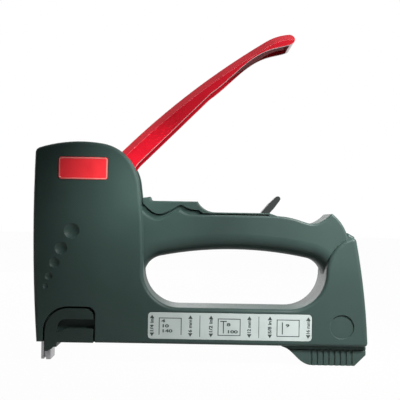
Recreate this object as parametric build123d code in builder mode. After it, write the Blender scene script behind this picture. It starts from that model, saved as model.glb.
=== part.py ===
"""Hand staple gun: a moulded two-shell body, a squeeze lever, a spring-driven hammer and a slide-out magazine.

Frame: X runs from the nose to the tail, Y across the tool and Z up from the bench. The origin is on the bench,
under the middle of the body. The left side of the tool faces -Y. All sizes are in millimetres.
"""

import os
from math import acos, atan2, ceil, cos, degrees, hypot, pi, radians, sin, sqrt, tan

from build123d import *

# Body shells: overall sizes and edges
body_length = 181.0
body_width = 30.0
body_height = 108.2
nose_reach = 10.5
nose_depth = 59.6
base_height = 19.7
finger_length = 98.4
finger_height = 31.5
finger_corner = 19.5
ramp_run = 10.2
ramp_rise = 18.3
tail_lean = 15.0
tail_rise = 119.4
tail_bulge = 1.2
tail_round = 2.2
cap_heading = (1, 0.35)
cap_width = 25.2
cap_inset = 3.0
cap_run = 3.4
cap_rise = 3.7
cap_fall = 1.9
cap_round = 1.6
front_set_back = 2.6
belly_height = 59.5
brow_inset = 0.6
brow_drop = 4.2
crown_inset = 24.5
shoulder_inset = 5.4
shoulder_drop = 6.0
nape_inset = 1.2
edge_round = 2.0
brow_round = 3.2
shoulder_round = 24.0
post_round = 2.2
side_wall = 2.8
roof_wall = 6.2
back_wall = 2.9
mech_floor = 2.0
pick_margin = 1.0
match = 0.01

# Grip over the finger hole
grip_width = 25.6
grip_height = 18.6
grip_under_round = 8.5
grip_top_round = 1.2
grip_root = 6.0
arch_spring = 4.1
arch_inset = 9.0
arch_foot = 13.0
wave_depth = 2.1
wave_height = 2.6
wave_pitch = 9.3
wave_entry = (0.6, -0.8)
horn_reach = 2.7
horn_rise = 2.0
horn_dip = 3.3
horn_round = 0.9
horn_back = 6.0
horn_fall = 6.3
horn_entry = (0.64, 0.77)
dip_run = 4.4
tuck_run = 2.1
tuck_drop = 2.0
rib_height = 7.2
rib_spur = 2.2
rib_step = 1.5
rib_pad = 23.7
rib_gap = 1.0
rib_edge = 0.9
rib_fall = 9.5
rib_end = 4.0
rib_tail = 9.0
groove_height = 2.6
groove_shift = 1.3
groove_depth = 1.5
groove_sink = 0.3
groove_run = 0.8

# Squeeze lever, a pressed steel channel
lever_gap = 0.45
lever_sheet = 1.5
lever_swing = 42.5
lever_slope = 44.9
lever_arc = 420.0
lever_run = 97.0
lever_curl = 28.0
lever_curl_sweep = 28.0
lever_root_depth = 10.9
lever_waist_depth = 7.2
lever_neck_depth = 5.4
lever_taper_run = 56.0
lever_facet_rise = 3.4
lever_facet_inset = 2.9
lever_root_x = 14.4
lever_root_z = 24.0
lever_tail_in = 9.0
lever_tip_round = 3.0
lever_tip_kink = 12.0
lever_tip_sweep = 150.0
lever_waist_heading = 0.7
lever_room_drop = 33.6
lever_room_lean = 1.6
pivot_inset = 26.1
pivot_drop = 27.7
pivot_dia = 6.0
pivot_boss = 8.0
pin_seat = 1.6
pin_chamfer = 0.4
running_gap = 0.05
bush_wall = 1.5
slot_gap = 1.6
mouth_lead = 3.8
mouth_sill = 4.2

# Hammer, driver and drive spring
driver_thick = 1.1
driver_slack = 0.1
nose_tip_gap = 1.0
driver_head = 18.0
driver_head_height = 12.0
hammer_depth = 15.0
hammer_gap = 0.75
hammer_drop = 9.6
hammer_height = 19.0
lift_pin_dia = 5.0
lift_pin_wall = 0.7
lift_guide = 1.2
fork_boss = 5.8
fork_gap = 0.4
spring_dia = 11.0
spring_wire = 1.8
spring_turns = 6
wire_sides = 8
fine_wire_sides = 6
gap_search = 40
spring_gap = 0.3
hammer_floor = 3.0
cap_thick = 1.5
cap_spigot = 4.0
bumper_thick = 3.8
rivet_dia = 2.4
rivet_head = 3.8
rivet_head_thick = 0.6
rivet_span = 6.9

# Lever return spring, wound round the spacer bush
return_wire = 1.4
return_pitch = 2.2
return_turns = 2
return_rest_leg = 22.3
return_lift_leg = 18.2
return_lift_angle = 75.0

# Nose steel, staple channel and magazine
staple_crown = 11.4
staple_room = 1.5
staple_slack = 0.2
channel_sheet = 1.1
channel_height = 16.7
plate_thick = 1.4
plate_height = 62.0
guide_thick = 2.4
front_wall = 1.7
fit_gap = 0.2
seat_gap = 0.05
rail_sheet = 1.0
rail_lift = 0.2
rail_crown_room = 1.8
pusher_length = 13.0
rod_seat = 4.3
rod_dia = 2.5
pusher_wire = 0.8
pusher_coil = 5.6
pusher_turns = 16
foot_length = 46.0
foot_width = 23.0
foot_gap = 0.3
foot_ramp = 16.0
foot_chamfer = 6.0
foot_block = 17.0
foot_ribs = 8
foot_rib_pitch = 3.1
foot_rib_cut = 1.3
foot_rib_depth = 0.6
foot_lip = 1.3
foot_lip_gap = 0.6
foot_entry = (1, -0.25)
foot_exit = (1, -0.12)

# Nose latch, a stirrup with an arm on each side
latch_pin_dia = 3.0
latch_pin_x = 10.9
latch_pin_z = 3.7
latch_pin_seat = 1.6
latch_thick = 3.6
latch_gap = 1.1
latch_floor_gap = 0.3
latch_recess_left = 6.2
latch_recess_right = 34.4
latch_recess_height = 19.4
latch_arch = 13.5
latch_corner = 4.5
latch_arm = 5.7
latch_stem = 6.4
latch_bend = 5.2
latch_block_height = 7.5
latch_sill_run = 6.2
latch_sill_drop = 2.4
latch_sill_exit = (-1, -0.2)
latch_toe_reach = 4.8
latch_toe_depth = 2.0
latch_toe_lean = 2.4
latch_toe_tip = 1.4
latch_toe_gap = 1.3

# Lever lock on the grip
lock_x = 63.7
lock_drop = 1.0
lock_length = 15.4
lock_neck = 1.8
lock_swell = 1.9
lock_swell_at = 8.5
lock_tip = 1.4
lock_width = 7.0
lock_lean = 49.0
lock_pin_dia = 2.0
lock_pin_length = 15.0
lock_slot_gap = 0.4
lock_slot_depth = 6.5
lock_rest_depth = 2.2
lock_boss = 2.4

# Dressing on the left shell
badge_length = 26.4
badge_height = 12.0
badge_thick = 0.8
badge_round = 1.6
badge_proud = 0.4
badge_edge = 0.2
badge_x = 26.5
badge_drop = 14.6
label_length = 87.8
label_height = 14.2
label_thick = 0.3
label_proud = 0.1
label_round = 1.8
label_x = 47.0
label_z = 10.0
disc_dia = 12.9
disc_depth = 0.7
disc_inset = 14.2
disc_z = 10.8
dimple_places = ((20.9, 60.0, 8.4), (15.3, 50.6, 6.8), (11.9, 42.8, 5.6), (9.0, 35.4, 4.1), (7.4, 30.1, 3.0))
dimple_share = 0.2

# Body screws
screw_dia = 3.0
screw_clear = 0.2
screw_boss = 4.2
screw_head_dia = 6.0
screw_head_thick = 2.4
screw_reach = 9.5
screw_head_depth = 7.0
screw_head_round = 0.8
screw_set_back = 4.8
screw_lift = 12.6
screw_nudge = 1.0

# Places worked out from the sizes above
half_width = body_width / 2
cavity_half = half_width - side_wall
front_x = -body_length / 2
tail_x = body_length / 2
base_z = nose_reach
base_top = base_z + base_height
hole_top = base_top + finger_height
grip_top = hole_top + grip_height
body_top = base_z + body_height
nose_rear = front_x + nose_depth
post_front = nose_rear + finger_length
roof_z = body_top - roof_wall
mech_z = base_top + mech_floor
pivot = Vector(nose_rear - pivot_inset, body_top - pivot_drop)
lever_half = cavity_half - lever_gap
lever_inner = lever_half - lever_sheet
rib_half = lever_inner - rib_gap
channel_inner = staple_crown / 2 + staple_slack
channel_half = channel_inner + channel_sheet
channel_top = base_z + channel_height
slot_half = channel_half + fit_gap
plate_x = front_x + front_set_back + front_wall
blade_x = plate_x + plate_thick + driver_slack
guide_x = blade_x + driver_thick + driver_slack
hammer_x = blade_x + driver_thick
hammer_mid = hammer_x + hammer_depth / 2
hammer_half = lever_inner - hammer_gap
half_swing = radians(lever_swing / 2)
fork_arm = pivot.X - hammer_mid
stroke = 2 * fork_arm * tan(half_swing)
lift_z = pivot.Y - stroke / 2
hammer_z = lift_z - hammer_drop
hammer_top = hammer_z + hammer_height
spring_floor = hammer_z + hammer_floor
lift_pin_end = spring_dia / 2 + spring_gap + lift_pin_wall
shelf_z = hammer_z - spring_gap - bumper_thick
latch_pin = Vector(front_x + latch_pin_x, base_z + latch_pin_z)
lock_pivot = Vector(nose_rear + lock_x, grip_top - lock_drop)


def side_plane(distance):
    """Plane parallel to the centre plane, a distance towards the left side; local axes are X and Z."""
    return Plane.XZ.offset(distance)


def lengthwise_plane(x):
    """Plane square to the tool's length at x; local axes are Y and Z, and it faces the tail."""
    return Plane(origin=(x, 0, 0), x_dir=(0, 1, 0), z_dir=(1, 0, 0))


def save(builder, name):
    """Label one finished piece and write it to its own file."""
    builder.part.label = name
    export_step(builder.part, f"parts/{name}.step")


def corner_near(sketch, place):
    """The sketch corner nearest to a place in the sketch's own plane."""
    return sketch.vertices().sort_by_distance((place.X, place.Y, 0))[0]


def outer_rim(builder):
    """Edges of the face that lies furthest to the left side."""
    return builder.faces().sort_by(Axis.Y)[0].edges()


def helix_spot(plane, radius, pitch, angle):
    """Point and heading on a helix round a plane's normal at an angle in radians."""
    rise = pitch / (2 * pi)
    spot = plane.from_local_coords((radius * cos(angle), radius * sin(angle), rise * angle))
    ahead = plane.from_local_coords((-radius * sin(angle), radius * cos(angle), rise)) - plane.origin
    return Vector(spot), Vector(ahead).normalized()


def helix_arcs(plane, radius, pitch, start_angle, turns):
    """Draw a helix in steps of at most a quarter turn, each a pair of arcs that run smoothly into each other."""
    steps = ceil(4 * turns)
    stride = 2 * pi * turns / steps
    for step in range(steps):
        angle = start_angle + step * stride
        first, leaving = helix_spot(plane, radius, pitch, angle)
        last, arriving = helix_spot(plane, radius, pitch, angle + stride)
        chord = last - first
        both = leaving + arriving
        lead = chord.dot(both)
        spread = both.dot(both) - 4
        reach = (lead - sqrt(lead * lead - spread * chord.dot(chord))) / spread
        if reach < 0:
            reach = (lead + sqrt(lead * lead - spread * chord.dot(chord))) / spread
        knee = (first + leaving * reach + last - arriving * reach) * 0.5
        middle = (last - arriving * reach) - (first + leaving * reach)
        TangentArc(first, knee, tangent=leaving)
        TangentArc(knee, last, tangent=middle.normalized())


def touch(center, radius, other, other_radius, hand):
    """Point where the outer tangent of two circles leaves the first, on its left (1) or right (-1) hand."""
    span = other - center
    angle = atan2(span.Y, span.X) + hand * acos((radius - other_radius) / span.length)
    return center + Vector(cos(angle), sin(angle)) * radius


def web(center, radius, other, other_radius):
    """Corners of the web between the outer tangents of two circles."""
    return (
        touch(center, radius, other, other_radius, 1),
        touch(other, other_radius, center, radius, -1),
        touch(other, other_radius, center, radius, 1),
        touch(center, radius, other, other_radius, -1),
    )


def turn_gap(name, radius, pitch, wire):
    """Measure and print the least gap between neighbouring turns of a coil on sampled points."""
    plane = Plane.XY
    first = helix_spot(plane, radius, pitch, 0)[0]
    steps = range(-gap_search, gap_search + 1)
    samples = [helix_spot(plane, radius, pitch, 2 * pi + radians(step))[0] for step in steps]
    print(name, "least gap between turns", round(min((spot - first).length for spot in samples) - wire, 2))


# Left and right shells start from one moulded half: a U-shaped slab with the grip across its opening.
nose_foot = Vector(front_x + front_set_back, base_z)
brow = Vector(front_x + brow_inset, body_top - brow_drop)
shoulder = Vector(nose_rear - shoulder_inset, body_top - shoulder_drop)
heel = Vector(nose_rear, base_top + finger_corner)
tail_foot = Vector(tail_x, base_z)
tail_head = Vector(tail_x - tail_lean, base_z + tail_rise)
root = Vector(nose_rear - grip_root, grip_top + grip_root + wave_depth)
valley = Vector(nose_rear + wave_pitch, grip_top - wave_depth)
hump = valley + Vector(wave_pitch, wave_depth + wave_height)
settle = hump + Vector(wave_pitch, -wave_height)
horn = Vector(post_front + horn_reach, grip_top + horn_rise)
nape = horn + Vector(horn_back, -horn_fall)
tuck = Vector(post_front + ramp_run + tuck_run, base_top + finger_corner + ramp_rise - tuck_drop)


def wave_line(lift):
    """Draw the wavy step at the front of the grip's top, moved by a lift."""
    return Spline(root + lift, valley + lift, hump + lift, settle + lift, tangents=[wave_entry, (1, 0)])


with BuildPart() as slab:
    with BuildSketch(Plane.XZ) as slab_face:
        with BuildLine():
            ThreePointArc(nose_foot, (front_x, base_z + belly_height), brow)
            ThreePointArc(brow, (front_x + crown_inset, body_top), shoulder)
            ThreePointArc(shoulder, (nose_rear - nape_inset, grip_top), heel)
            CenterArc((nose_rear + finger_corner, base_top + finger_corner), finger_corner, 180, 90)
            Line((nose_rear + finger_corner, base_top), (post_front - finger_corner, base_top))
            CenterArc((post_front - finger_corner, base_top + finger_corner), finger_corner, 270, 90)
            ramp_foot = Vector(post_front, base_top + finger_corner)
            ramp = TangentArc(ramp_foot, ramp_foot + Vector(ramp_run, ramp_rise), tangent=(0, 1))
            tail_edge = Line(tail_foot, tail_head, mode=Mode.PRIVATE)
            post_cap = IntersectingLine(ramp @ 1, cap_heading, tail_edge)
            tail_middle = (post_cap @ 1 + tail_foot) * 0.5 + Vector(tail_bulge, 0)
            ThreePointArc(post_cap @ 1, tail_middle, tail_foot)
            Line(tail_foot, nose_foot)
        make_face()
        fillet(corner_near(slab_face, brow), brow_round)
        fillet(corner_near(slab_face, shoulder), shoulder_round)
        fillet(corner_near(slab_face, post_cap @ 1), post_round)
        fillet(corner_near(slab_face, tail_foot), tail_round)
    extrude(amount=half_width)
    fillet([edge for edge in outer_rim(slab) if edge.center().Z > base_z + edge_round], edge_round)

with BuildPart() as grip:
    with BuildSketch(Plane.XZ) as grip_face:
        with BuildLine():
            wave_line(Vector(0, 0))
            back = Line(settle, (post_front - finger_corner - arch_inset, grip_top))
            Spline(back @ 1, (post_front - dip_run, grip_top - horn_dip), horn, tangents=[back % 1, horn_entry])
            ThreePointArc(horn, nape, tuck)
            right_foot = Vector(post_front, hole_top - arch_foot)
            left_foot = Vector(nose_rear, hole_top - arch_foot)
            right_spring = Vector(post_front - arch_inset, hole_top - arch_spring)
            left_spring = Vector(nose_rear + arch_inset, hole_top - arch_spring)
            arch = ThreePointArc(right_spring, ((post_front + nose_rear) / 2, hole_top), left_spring)
            TangentArc(right_spring, right_foot, tangent=-(arch % 0))
            TangentArc(left_spring, left_foot, tangent=arch % 1)
            Polyline(tuck, (tuck.X, right_foot.Y), right_foot)
            Polyline(left_foot, (root.X, left_foot.Y), root)
        make_face()
        fillet(corner_near(grip_face, horn), horn_round)
    extrude(amount=grip_width / 2)
    under = [edge for edge in outer_rim(grip) if left_foot.Y < edge.center().Z < hole_top + pick_margin
             and nose_rear < edge.center().X < post_front]
    fillet(under, grip_under_round)
    crest = [edge for edge in outer_rim(grip) if edge.center().Z > grip_top - horn_dip - pick_margin]
    fillet([edge for edge in crest if root.X + pick_margin < edge.center().X < horn.X], grip_top_round)

# Saddle behind the horn, on top of the post
cap_foot = ramp_foot + Vector(ramp_run - cap_inset, ramp_rise - cap_inset)

with BuildPart() as cap:
    with BuildSketch(Plane.XZ):
        with BuildLine():
            crown = ramp_foot + Vector(ramp_run + cap_run - cap_fall, ramp_rise + cap_rise)
            cap_end = crown + Vector(cap_run, -cap_fall)
            Polyline(cap_foot, crown, cap_end, (cap_end.X, cap_foot.Y), close=True)
        make_face()
    extrude(amount=cap_width / 2)
    fillet([edge for edge in outer_rim(cap) if edge.center().Z > ramp_foot.Y + ramp_rise], cap_round)

rib_front = nose_rear - rib_step
rib_top = grip_top + rib_height
rib_low = grip_top + rib_step

with BuildPart() as rib:
    with BuildSketch(Plane.XZ) as rib_face:
        with BuildLine():
            spur = Vector(rib_front + 2 * rib_spur, rib_top + rib_spur)
            pad_start = spur + Vector(rib_spur, -rib_spur)
            pad_end = pad_start + Vector(rib_pad, 0)
            run_start = Vector(pad_end.X + rib_fall, rib_low)
            run_end = Vector(lock_pivot.X + rib_end, rib_low)
            Line((rib_front, rib_top + rib_step), spur)
            TangentArc(pad_start, spur, tangent=(-1, 0))
            Line(pad_start, pad_end)
            TangentArc(run_start, pad_end, tangent=(-1, 0))
            Line(run_start, run_end)
            rib_foot = valley.Y - rib_step
            Polyline(run_end, (run_end.X + rib_tail, grip_top - rib_step), (run_end.X, rib_foot),
                     (rib_front, rib_foot), (rib_front, rib_top + rib_step))
        make_face()
    extrude(amount=rib_half)
    fillet([edge for edge in outer_rim(rib) if edge.center().Z > rib_low - rib_edge], rib_edge)

# Recess for the latch on a shell's side, open at the bottom
recess_floor = half_width - latch_thick - 2 * latch_floor_gap
recess_left = front_x + latch_recess_left
recess_right = front_x + latch_recess_right
recess_top = base_z + latch_recess_height

with BuildPart() as recess:
    with BuildSketch(side_plane(half_width)):
        with BuildLine():
            Line((recess_left, base_z - foot_gap), (recess_left, recess_top - latch_arch))
            CenterArc((recess_left + latch_arch, recess_top - latch_arch), latch_arch, 180, -90)
            Line((recess_left + latch_arch, recess_top), (recess_right - latch_corner, recess_top))
            CenterArc((recess_right - latch_corner, recess_top - latch_corner), latch_corner, 90, -90)
            Polyline((recess_right, recess_top - latch_corner), (recess_right, base_z - foot_gap),
                     (recess_left, base_z - foot_gap))
        make_face()
    extrude(amount=recess_floor - half_width)

screw_places = (
    (pivot.X - screw_set_back, roof_z - screw_boss - fit_gap),
    (pivot.X - screw_set_back, mech_z + screw_lift),
    (nose_rear - back_wall - 2 * screw_boss, hole_top),
    ((nose_rear + post_front) / 2 - finger_corner / 2, (hole_top + grip_top) / 2),
    (post_front - screw_boss, (hole_top + grip_top) / 2 - screw_nudge),
    (post_front + ramp_run - screw_nudge, base_top + screw_lift),
)

lever_out = Vector(cos(radians(lever_slope)), sin(radians(lever_slope)))
lever_root = pivot + Vector(lever_root_x, lever_root_z)
lever_in = lever_root - lever_out * lever_tail_in
slot_front = lever_root.X - mouth_lead
slot_floor = grip_top + mouth_sill
room_front = plate_x - seat_gap
room_rear = nose_rear - back_wall - nape_inset

with BuildPart() as half_shell:
    add(slab.part)
    add(grip.part)
    add(cap.part)
    # Room for the lever and the hammer, open at the shoulder where the lever comes out
    with BuildSketch(Plane.XZ):
        with BuildLine():
            Polyline(
                (room_front, mech_z),
                (room_front, roof_z),
                (slot_front, roof_z),
                (slot_front, body_top + slot_gap),
                (nose_rear + slot_gap, body_top + slot_gap),
                (nose_rear + slot_gap, slot_floor),
                (room_rear, slot_floor),
                (room_rear, mech_z),
                close=True,
            )
        make_face()
    extrude(amount=cavity_half, mode=Mode.SUBTRACT)
    add(rib.part)
    # Groove along the foot of the rib, following the wavy edge
    with BuildSketch(side_plane(rib_half - groove_depth)):
        with BuildLine():
            low = wave_line(Vector(0, -groove_sink))
            high = wave_line(Vector(groove_shift, groove_height))
            Line(low @ 0, high @ 0)
            level = settle.Y + groove_run
            Polyline(low @ 1, (run_end.X, settle.Y - groove_sink), (run_end.X, level),
                     (settle.X + groove_shift + groove_height, level), high @ 1)
        make_face()
    extrude(amount=groove_depth + groove_sink, mode=Mode.SUBTRACT)
    # Slot for the staple channel and the magazine, open at the bottom and the tail
    with BuildSketch(Plane.XZ):
        with Locations((room_front, base_z - foot_gap)):
            Rectangle(body_length, channel_height + foot_gap + seat_gap, align=(Align.MIN, Align.MIN))
    extrude(amount=slot_half, mode=Mode.SUBTRACT)
    # Passage from the mechanism down to the nose for the driver and the nose steel
    with BuildSketch(Plane.XZ):
        with Locations((room_front, channel_top - seat_gap)):
            passage = guide_x + guide_thick + seat_gap - room_front
            Rectangle(passage, mech_z - channel_top + 2 * seat_gap, align=(Align.MIN, Align.MIN))
    extrude(amount=slot_half, mode=Mode.SUBTRACT)
    # Screw bosses that stand in the mechanism's room
    with BuildSketch(Plane.XZ):
        with Locations(*screw_places[:3]):
            Circle(screw_boss)
    extrude(amount=cavity_half + side_wall / 2)
    # Blind seats for the pivot pin, the lift pins' grooves, the latch pins and the lock pin
    with BuildSketch(Plane.XZ):
        with Locations(pivot):
            Circle(pivot_dia / 2)
    extrude(amount=cavity_half + pin_seat + seat_gap, mode=Mode.SUBTRACT)
    with BuildSketch(side_plane(cavity_half - seat_gap)):
        with Locations((hammer_mid, lift_z + stroke / 2)):
            SlotCenterToCenter(stroke + 2 * fork_gap, lift_pin_dia + 2 * fork_gap, rotation=90)
    extrude(amount=lift_guide + 2 * seat_gap, mode=Mode.SUBTRACT)
    add(recess.part, mode=Mode.SUBTRACT)
    with BuildSketch(side_plane(recess_floor - latch_pin_seat)):
        with Locations(latch_pin):
            Circle(latch_pin_dia / 2)
    extrude(amount=latch_pin_seat + seat_gap, mode=Mode.SUBTRACT)
    with BuildSketch(Plane.XZ):
        with Locations(lock_pivot):
            Circle(lock_pin_dia / 2)
    extrude(amount=lock_pin_length / 2 + seat_gap, mode=Mode.SUBTRACT)
    # Slot in the grip for the lock, long enough for it to lie back
    with BuildSketch(Plane.XZ):
        with BuildLine():
            slot_start = lock_pivot.X - lock_boss - lock_slot_gap
            Polyline(
                (slot_start, grip_top - lock_slot_depth),
                (slot_start, rib_low + rib_step),
                (lock_pivot.X + lock_length, rib_low + rib_step),
                (lock_pivot.X + lock_length, grip_top - lock_rest_depth),
                (lock_pivot.X + lock_boss + lock_slot_gap, grip_top - lock_slot_depth),
                close=True,
            )
        make_face()
    extrude(amount=lock_width / 2 + lock_slot_gap, mode=Mode.SUBTRACT)
    # Row of shrinking dimples up the nose
    for inset, rise, width in dimple_places:
        depth = dimple_share * width
        ball = (width * width / 4 + depth * depth) / (2 * depth)
        with Locations((front_x + inset, -(half_width + ball - depth), base_z + rise)):
            Sphere(ball, mode=Mode.SUBTRACT)
    with BuildSketch(side_plane(half_width)):
        with Locations((tail_x - disc_inset, base_z + disc_z)):
            Circle(disc_dia / 2)
    extrude(amount=-disc_depth, mode=Mode.SUBTRACT)

badge_place = Vector(front_x + badge_x, body_top - badge_drop)
label_place = Vector(nose_rear + label_x, base_z + label_z)

with BuildPart() as left_housing:
    add(half_shell.part)
    with BuildSketch(Plane.XZ):
        with Locations(*screw_places):
            Circle(screw_dia / 2)
    extrude(amount=screw_reach + screw_clear, mode=Mode.SUBTRACT)
    with BuildSketch(side_plane(half_width)):
        with Locations(badge_place):
            RectangleRounded(badge_length + 2 * fit_gap, badge_height + 2 * fit_gap, badge_round + fit_gap)
    extrude(amount=-(badge_thick - badge_proud), mode=Mode.SUBTRACT)
    with BuildSketch(side_plane(half_width)):
        with Locations(label_place):
            RectangleRounded(label_length + 2 * fit_gap, label_height + 2 * fit_gap, label_round + fit_gap)
    extrude(amount=-(label_thick - label_proud), mode=Mode.SUBTRACT)

with BuildPart() as right_housing:
    add(mirror(half_shell.part, about=Plane.XZ, mode=Mode.PRIVATE))
    with BuildSketch(Plane.XZ):
        with Locations(*screw_places):
            Circle(screw_dia / 2 + screw_clear)
    extrude(amount=-half_width, mode=Mode.SUBTRACT)
    with BuildSketch(side_plane(-screw_head_depth)):
        with Locations(*screw_places):
            Circle(screw_head_dia / 2 + screw_clear)
    extrude(amount=-half_width, mode=Mode.SUBTRACT)

with BuildPart() as housing_screws:
    with BuildSketch(side_plane(-screw_head_depth)):
        with Locations(*screw_places):
            Circle(screw_dia / 2)
    extrude(amount=screw_head_depth + screw_reach)
    with BuildSketch(side_plane(-screw_head_depth)):
        with Locations(*screw_places):
            Circle(screw_head_dia / 2)
    extrude(amount=-screw_head_thick)
    heads = housing_screws.faces().group_by(Axis.Y)[-1]
    fillet([edge for face in heads for edge in face.edges()], screw_head_round)

# Squeeze lever: an arched channel outside the nose, and two cheeks inside that reach the pivot and the hammer.
inward = Vector(lever_out.Y, -lever_out.X)
fork_line = Vector(-cos(half_swing), -sin(half_swing))
fork_far = fork_arm / cos(half_swing)
fork_middle = pivot + fork_line * ((fork_arm + fork_far) / 2)
facet = hypot(lever_facet_rise, lever_facet_inset)
inner_rise = lever_facet_rise - lever_sheet * (1 - (facet - lever_facet_rise) / lever_facet_inset)
inner_inset = lever_facet_inset - lever_sheet * (1 - (facet - lever_facet_inset) / lever_facet_rise)


def lever_back(skin):
    """Draw the lever's long back, drawn in by a skin: a straight lead, the arch and the curl at its end."""
    lead = Line(lever_in + inward * skin, lever_root + inward * skin)
    arch = JernArc(lead @ 1, lead % 1, lever_arc - skin, -degrees(lever_run / lever_arc))
    curl = JernArc(arch @ 1, arch % 1, lever_curl - skin, -lever_curl_sweep)
    return lead, arch, curl


def below(curve, share, depth):
    """Point at a depth square to a curve, on its lower side, at a share of its length."""
    heading = curve % share
    return (curve @ share) + Vector(heading.Y, -heading.X) * depth


def facet_edges(face):
    """Edges along the back of a lever blank that lie on one of its side faces."""
    reach = (lever_arc, lever_arc - lever_sheet, lever_curl, lever_curl - lever_sheet)
    arcs = [edge for edge in face.edges() if edge.geom_type == GeomType.CIRCLE
            and min(abs(edge.radius - size) for size in reach) < match]
    lead_middle = (lever_in + lever_root) * 0.5
    leads = [edge for edge in face.edges() if edge.geom_type == GeomType.LINE
             and hypot(edge.center().X - lead_middle.X, edge.center().Z - lead_middle.Y) < 2 * lever_sheet]
    return arcs + leads


with BuildPart() as lever_room:
    with BuildSketch(Plane.XZ):
        with BuildLine():
            lead, arch, curl = lever_back(lever_sheet)
            drop = (curl @ 1) - Vector(lever_room_lean, lever_room_drop)
            sink = (lead @ 0) + inward * lever_room_drop
            Polyline(curl @ 1, drop, sink, lead @ 0)
        make_face()
    extrude(amount=lever_inner, both=True)
    for end in (0, -1):
        face = lever_room.faces().sort_by(Axis.Y)[end]
        chamfer(facet_edges(face), inner_rise, inner_inset, reference=face)

with BuildPart() as lever:
    with BuildSketch(Plane.XZ):
        with BuildLine():
            lead, arch, curl = lever_back(0)
            waist = below(arch, lever_taper_run / lever_run, lever_waist_depth)
            neck = below(arch, 1, lever_neck_depth)
            tip = JernArc(curl @ 1, (curl % 1).rotate(Axis.Z, -lever_tip_kink), lever_tip_round, -lever_tip_sweep)
            heel_low = below(lead, 0, lever_root_depth)
            root_low = below(lead, 1, lever_root_depth)
            Polyline(lead @ 0, heel_low, root_low, waist)
            Spline(waist, neck, tip @ 1, tangents=[arch % lever_waist_heading, -(tip % 1)])
        make_face()
    extrude(amount=lever_half, both=True)
    for end in (0, -1):
        face = lever.faces().sort_by(Axis.Y)[end]
        chamfer(facet_edges(face), lever_facet_rise, lever_facet_inset, reference=face)
    add(lever_room.part, mode=Mode.SUBTRACT)
    for plane in (side_plane(lever_inner), side_plane(-lever_half)):
        with BuildSketch(plane):
            with Locations(pivot):
                Circle(pivot_boss)
            with Locations(fork_middle):
                Circle(fork_boss)
            with BuildLine():
                Polyline(*web(pivot, pivot_boss, fork_middle, fork_boss), close=True)
            make_face()
            with BuildLine():
                Polyline(touch(pivot, pivot_boss, lever_in, 0, 1), lever_in, root_low,
                         touch(pivot, pivot_boss, root_low, 0, -1), close=True)
            make_face()
            with Locations(pivot):
                Circle(pivot_dia / 2 + running_gap, mode=Mode.SUBTRACT)
            with Locations(fork_middle):
                SlotCenterToCenter(fork_far - fork_arm, lift_pin_dia + 2 * fork_gap,
                                   rotation=lever_swing / 2, mode=Mode.SUBTRACT)
        extrude(amount=lever_sheet)

# Pivot pin, spacer bush and return spring
with BuildPart() as lever_pivot_pin:
    with BuildSketch(Plane.XZ):
        with Locations(pivot):
            Circle(pivot_dia / 2)
    extrude(amount=cavity_half + pin_seat, both=True)
    chamfer(lever_pivot_pin.edges().filter_by(GeomType.CIRCLE), pin_chamfer)

bush_radius = pivot_dia / 2 + running_gap + bush_wall

with BuildPart() as spacer_bush:
    with BuildSketch(Plane.XZ):
        with Locations(pivot):
            Circle(bush_radius)
            Circle(pivot_dia / 2 + running_gap, mode=Mode.SUBTRACT)
    extrude(amount=lever_inner - seat_gap, both=True)

return_radius = bush_radius + running_gap + return_wire / 2
rest_spot = Vector(room_rear, slot_floor + return_wire / 2 + fit_gap) - pivot
rest_angle = atan2(rest_spot.Y, rest_spot.X) + acos(return_radius / rest_spot.length)
lift_angle = radians(return_lift_angle) - pi / 2
wound = return_turns + ((lift_angle - rest_angle) / (2 * pi)) % 1
coil_plane = Plane(origin=(pivot.X, return_pitch * wound / 2, pivot.Y), x_dir=(1, 0, 0), z_dir=(0, -1, 0))

with BuildPart() as lever_return_spring:
    with BuildLine() as return_path:
        shift = Vector(0, return_pitch * rest_angle / (2 * pi), 0)
        plane = Plane(origin=coil_plane.origin + shift, x_dir=coil_plane.x_dir, z_dir=coil_plane.z_dir)
        start, heading = helix_spot(plane, return_radius, return_pitch, rest_angle)
        Line(start - heading * return_rest_leg, start)
        helix_arcs(plane, return_radius, return_pitch, rest_angle, wound)
        finish, heading = helix_spot(plane, return_radius, return_pitch, rest_angle + 2 * pi * wound)
        Line(finish, finish + heading * return_lift_leg)
    with BuildSketch(Plane(origin=return_path.line @ 0, z_dir=return_path.line % 0)):
        RegularPolygon(return_wire / 2, wire_sides)
    sweep(clean=False)

# Hammer with its spring bore, the driver blade it carries and the pins the lever lifts it by
rivet_spots = [(hand * rivet_span, hammer_top - driver_head_height / 2) for hand in (1, -1)]

with BuildPart() as hammer:
    with BuildSketch(Plane.XY.offset(hammer_z)):
        with Locations((hammer_mid, 0)):
            RectangleRounded(hammer_depth, 2 * hammer_half, edge_round)
    extrude(amount=hammer_height)
    with BuildSketch(Plane.XY.offset(hammer_top)):
        with Locations((hammer_mid, 0)):
            Circle(spring_dia / 2 + spring_gap)
    extrude(amount=spring_floor - hammer_top, mode=Mode.SUBTRACT)
    for hand in (1, -1):
        with BuildSketch(side_plane(hand * hammer_half)):
            with Locations((hammer_mid, lift_z)):
                Circle(lift_pin_dia / 2)
        extrude(amount=hand * (lift_pin_end - hammer_half), mode=Mode.SUBTRACT)
    with BuildSketch(lengthwise_plane(hammer_x)):
        with Locations(*rivet_spots):
            Circle(rivet_dia / 2)
    extrude(amount=rivet_head, mode=Mode.SUBTRACT)

with BuildPart() as lift_pins:
    for hand in (1, -1):
        with BuildSketch(side_plane(hand * lift_pin_end)):
            with Locations((hammer_mid, lift_z)):
                Circle(lift_pin_dia / 2)
        extrude(amount=hand * (cavity_half + lift_guide - lift_pin_end))

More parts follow.
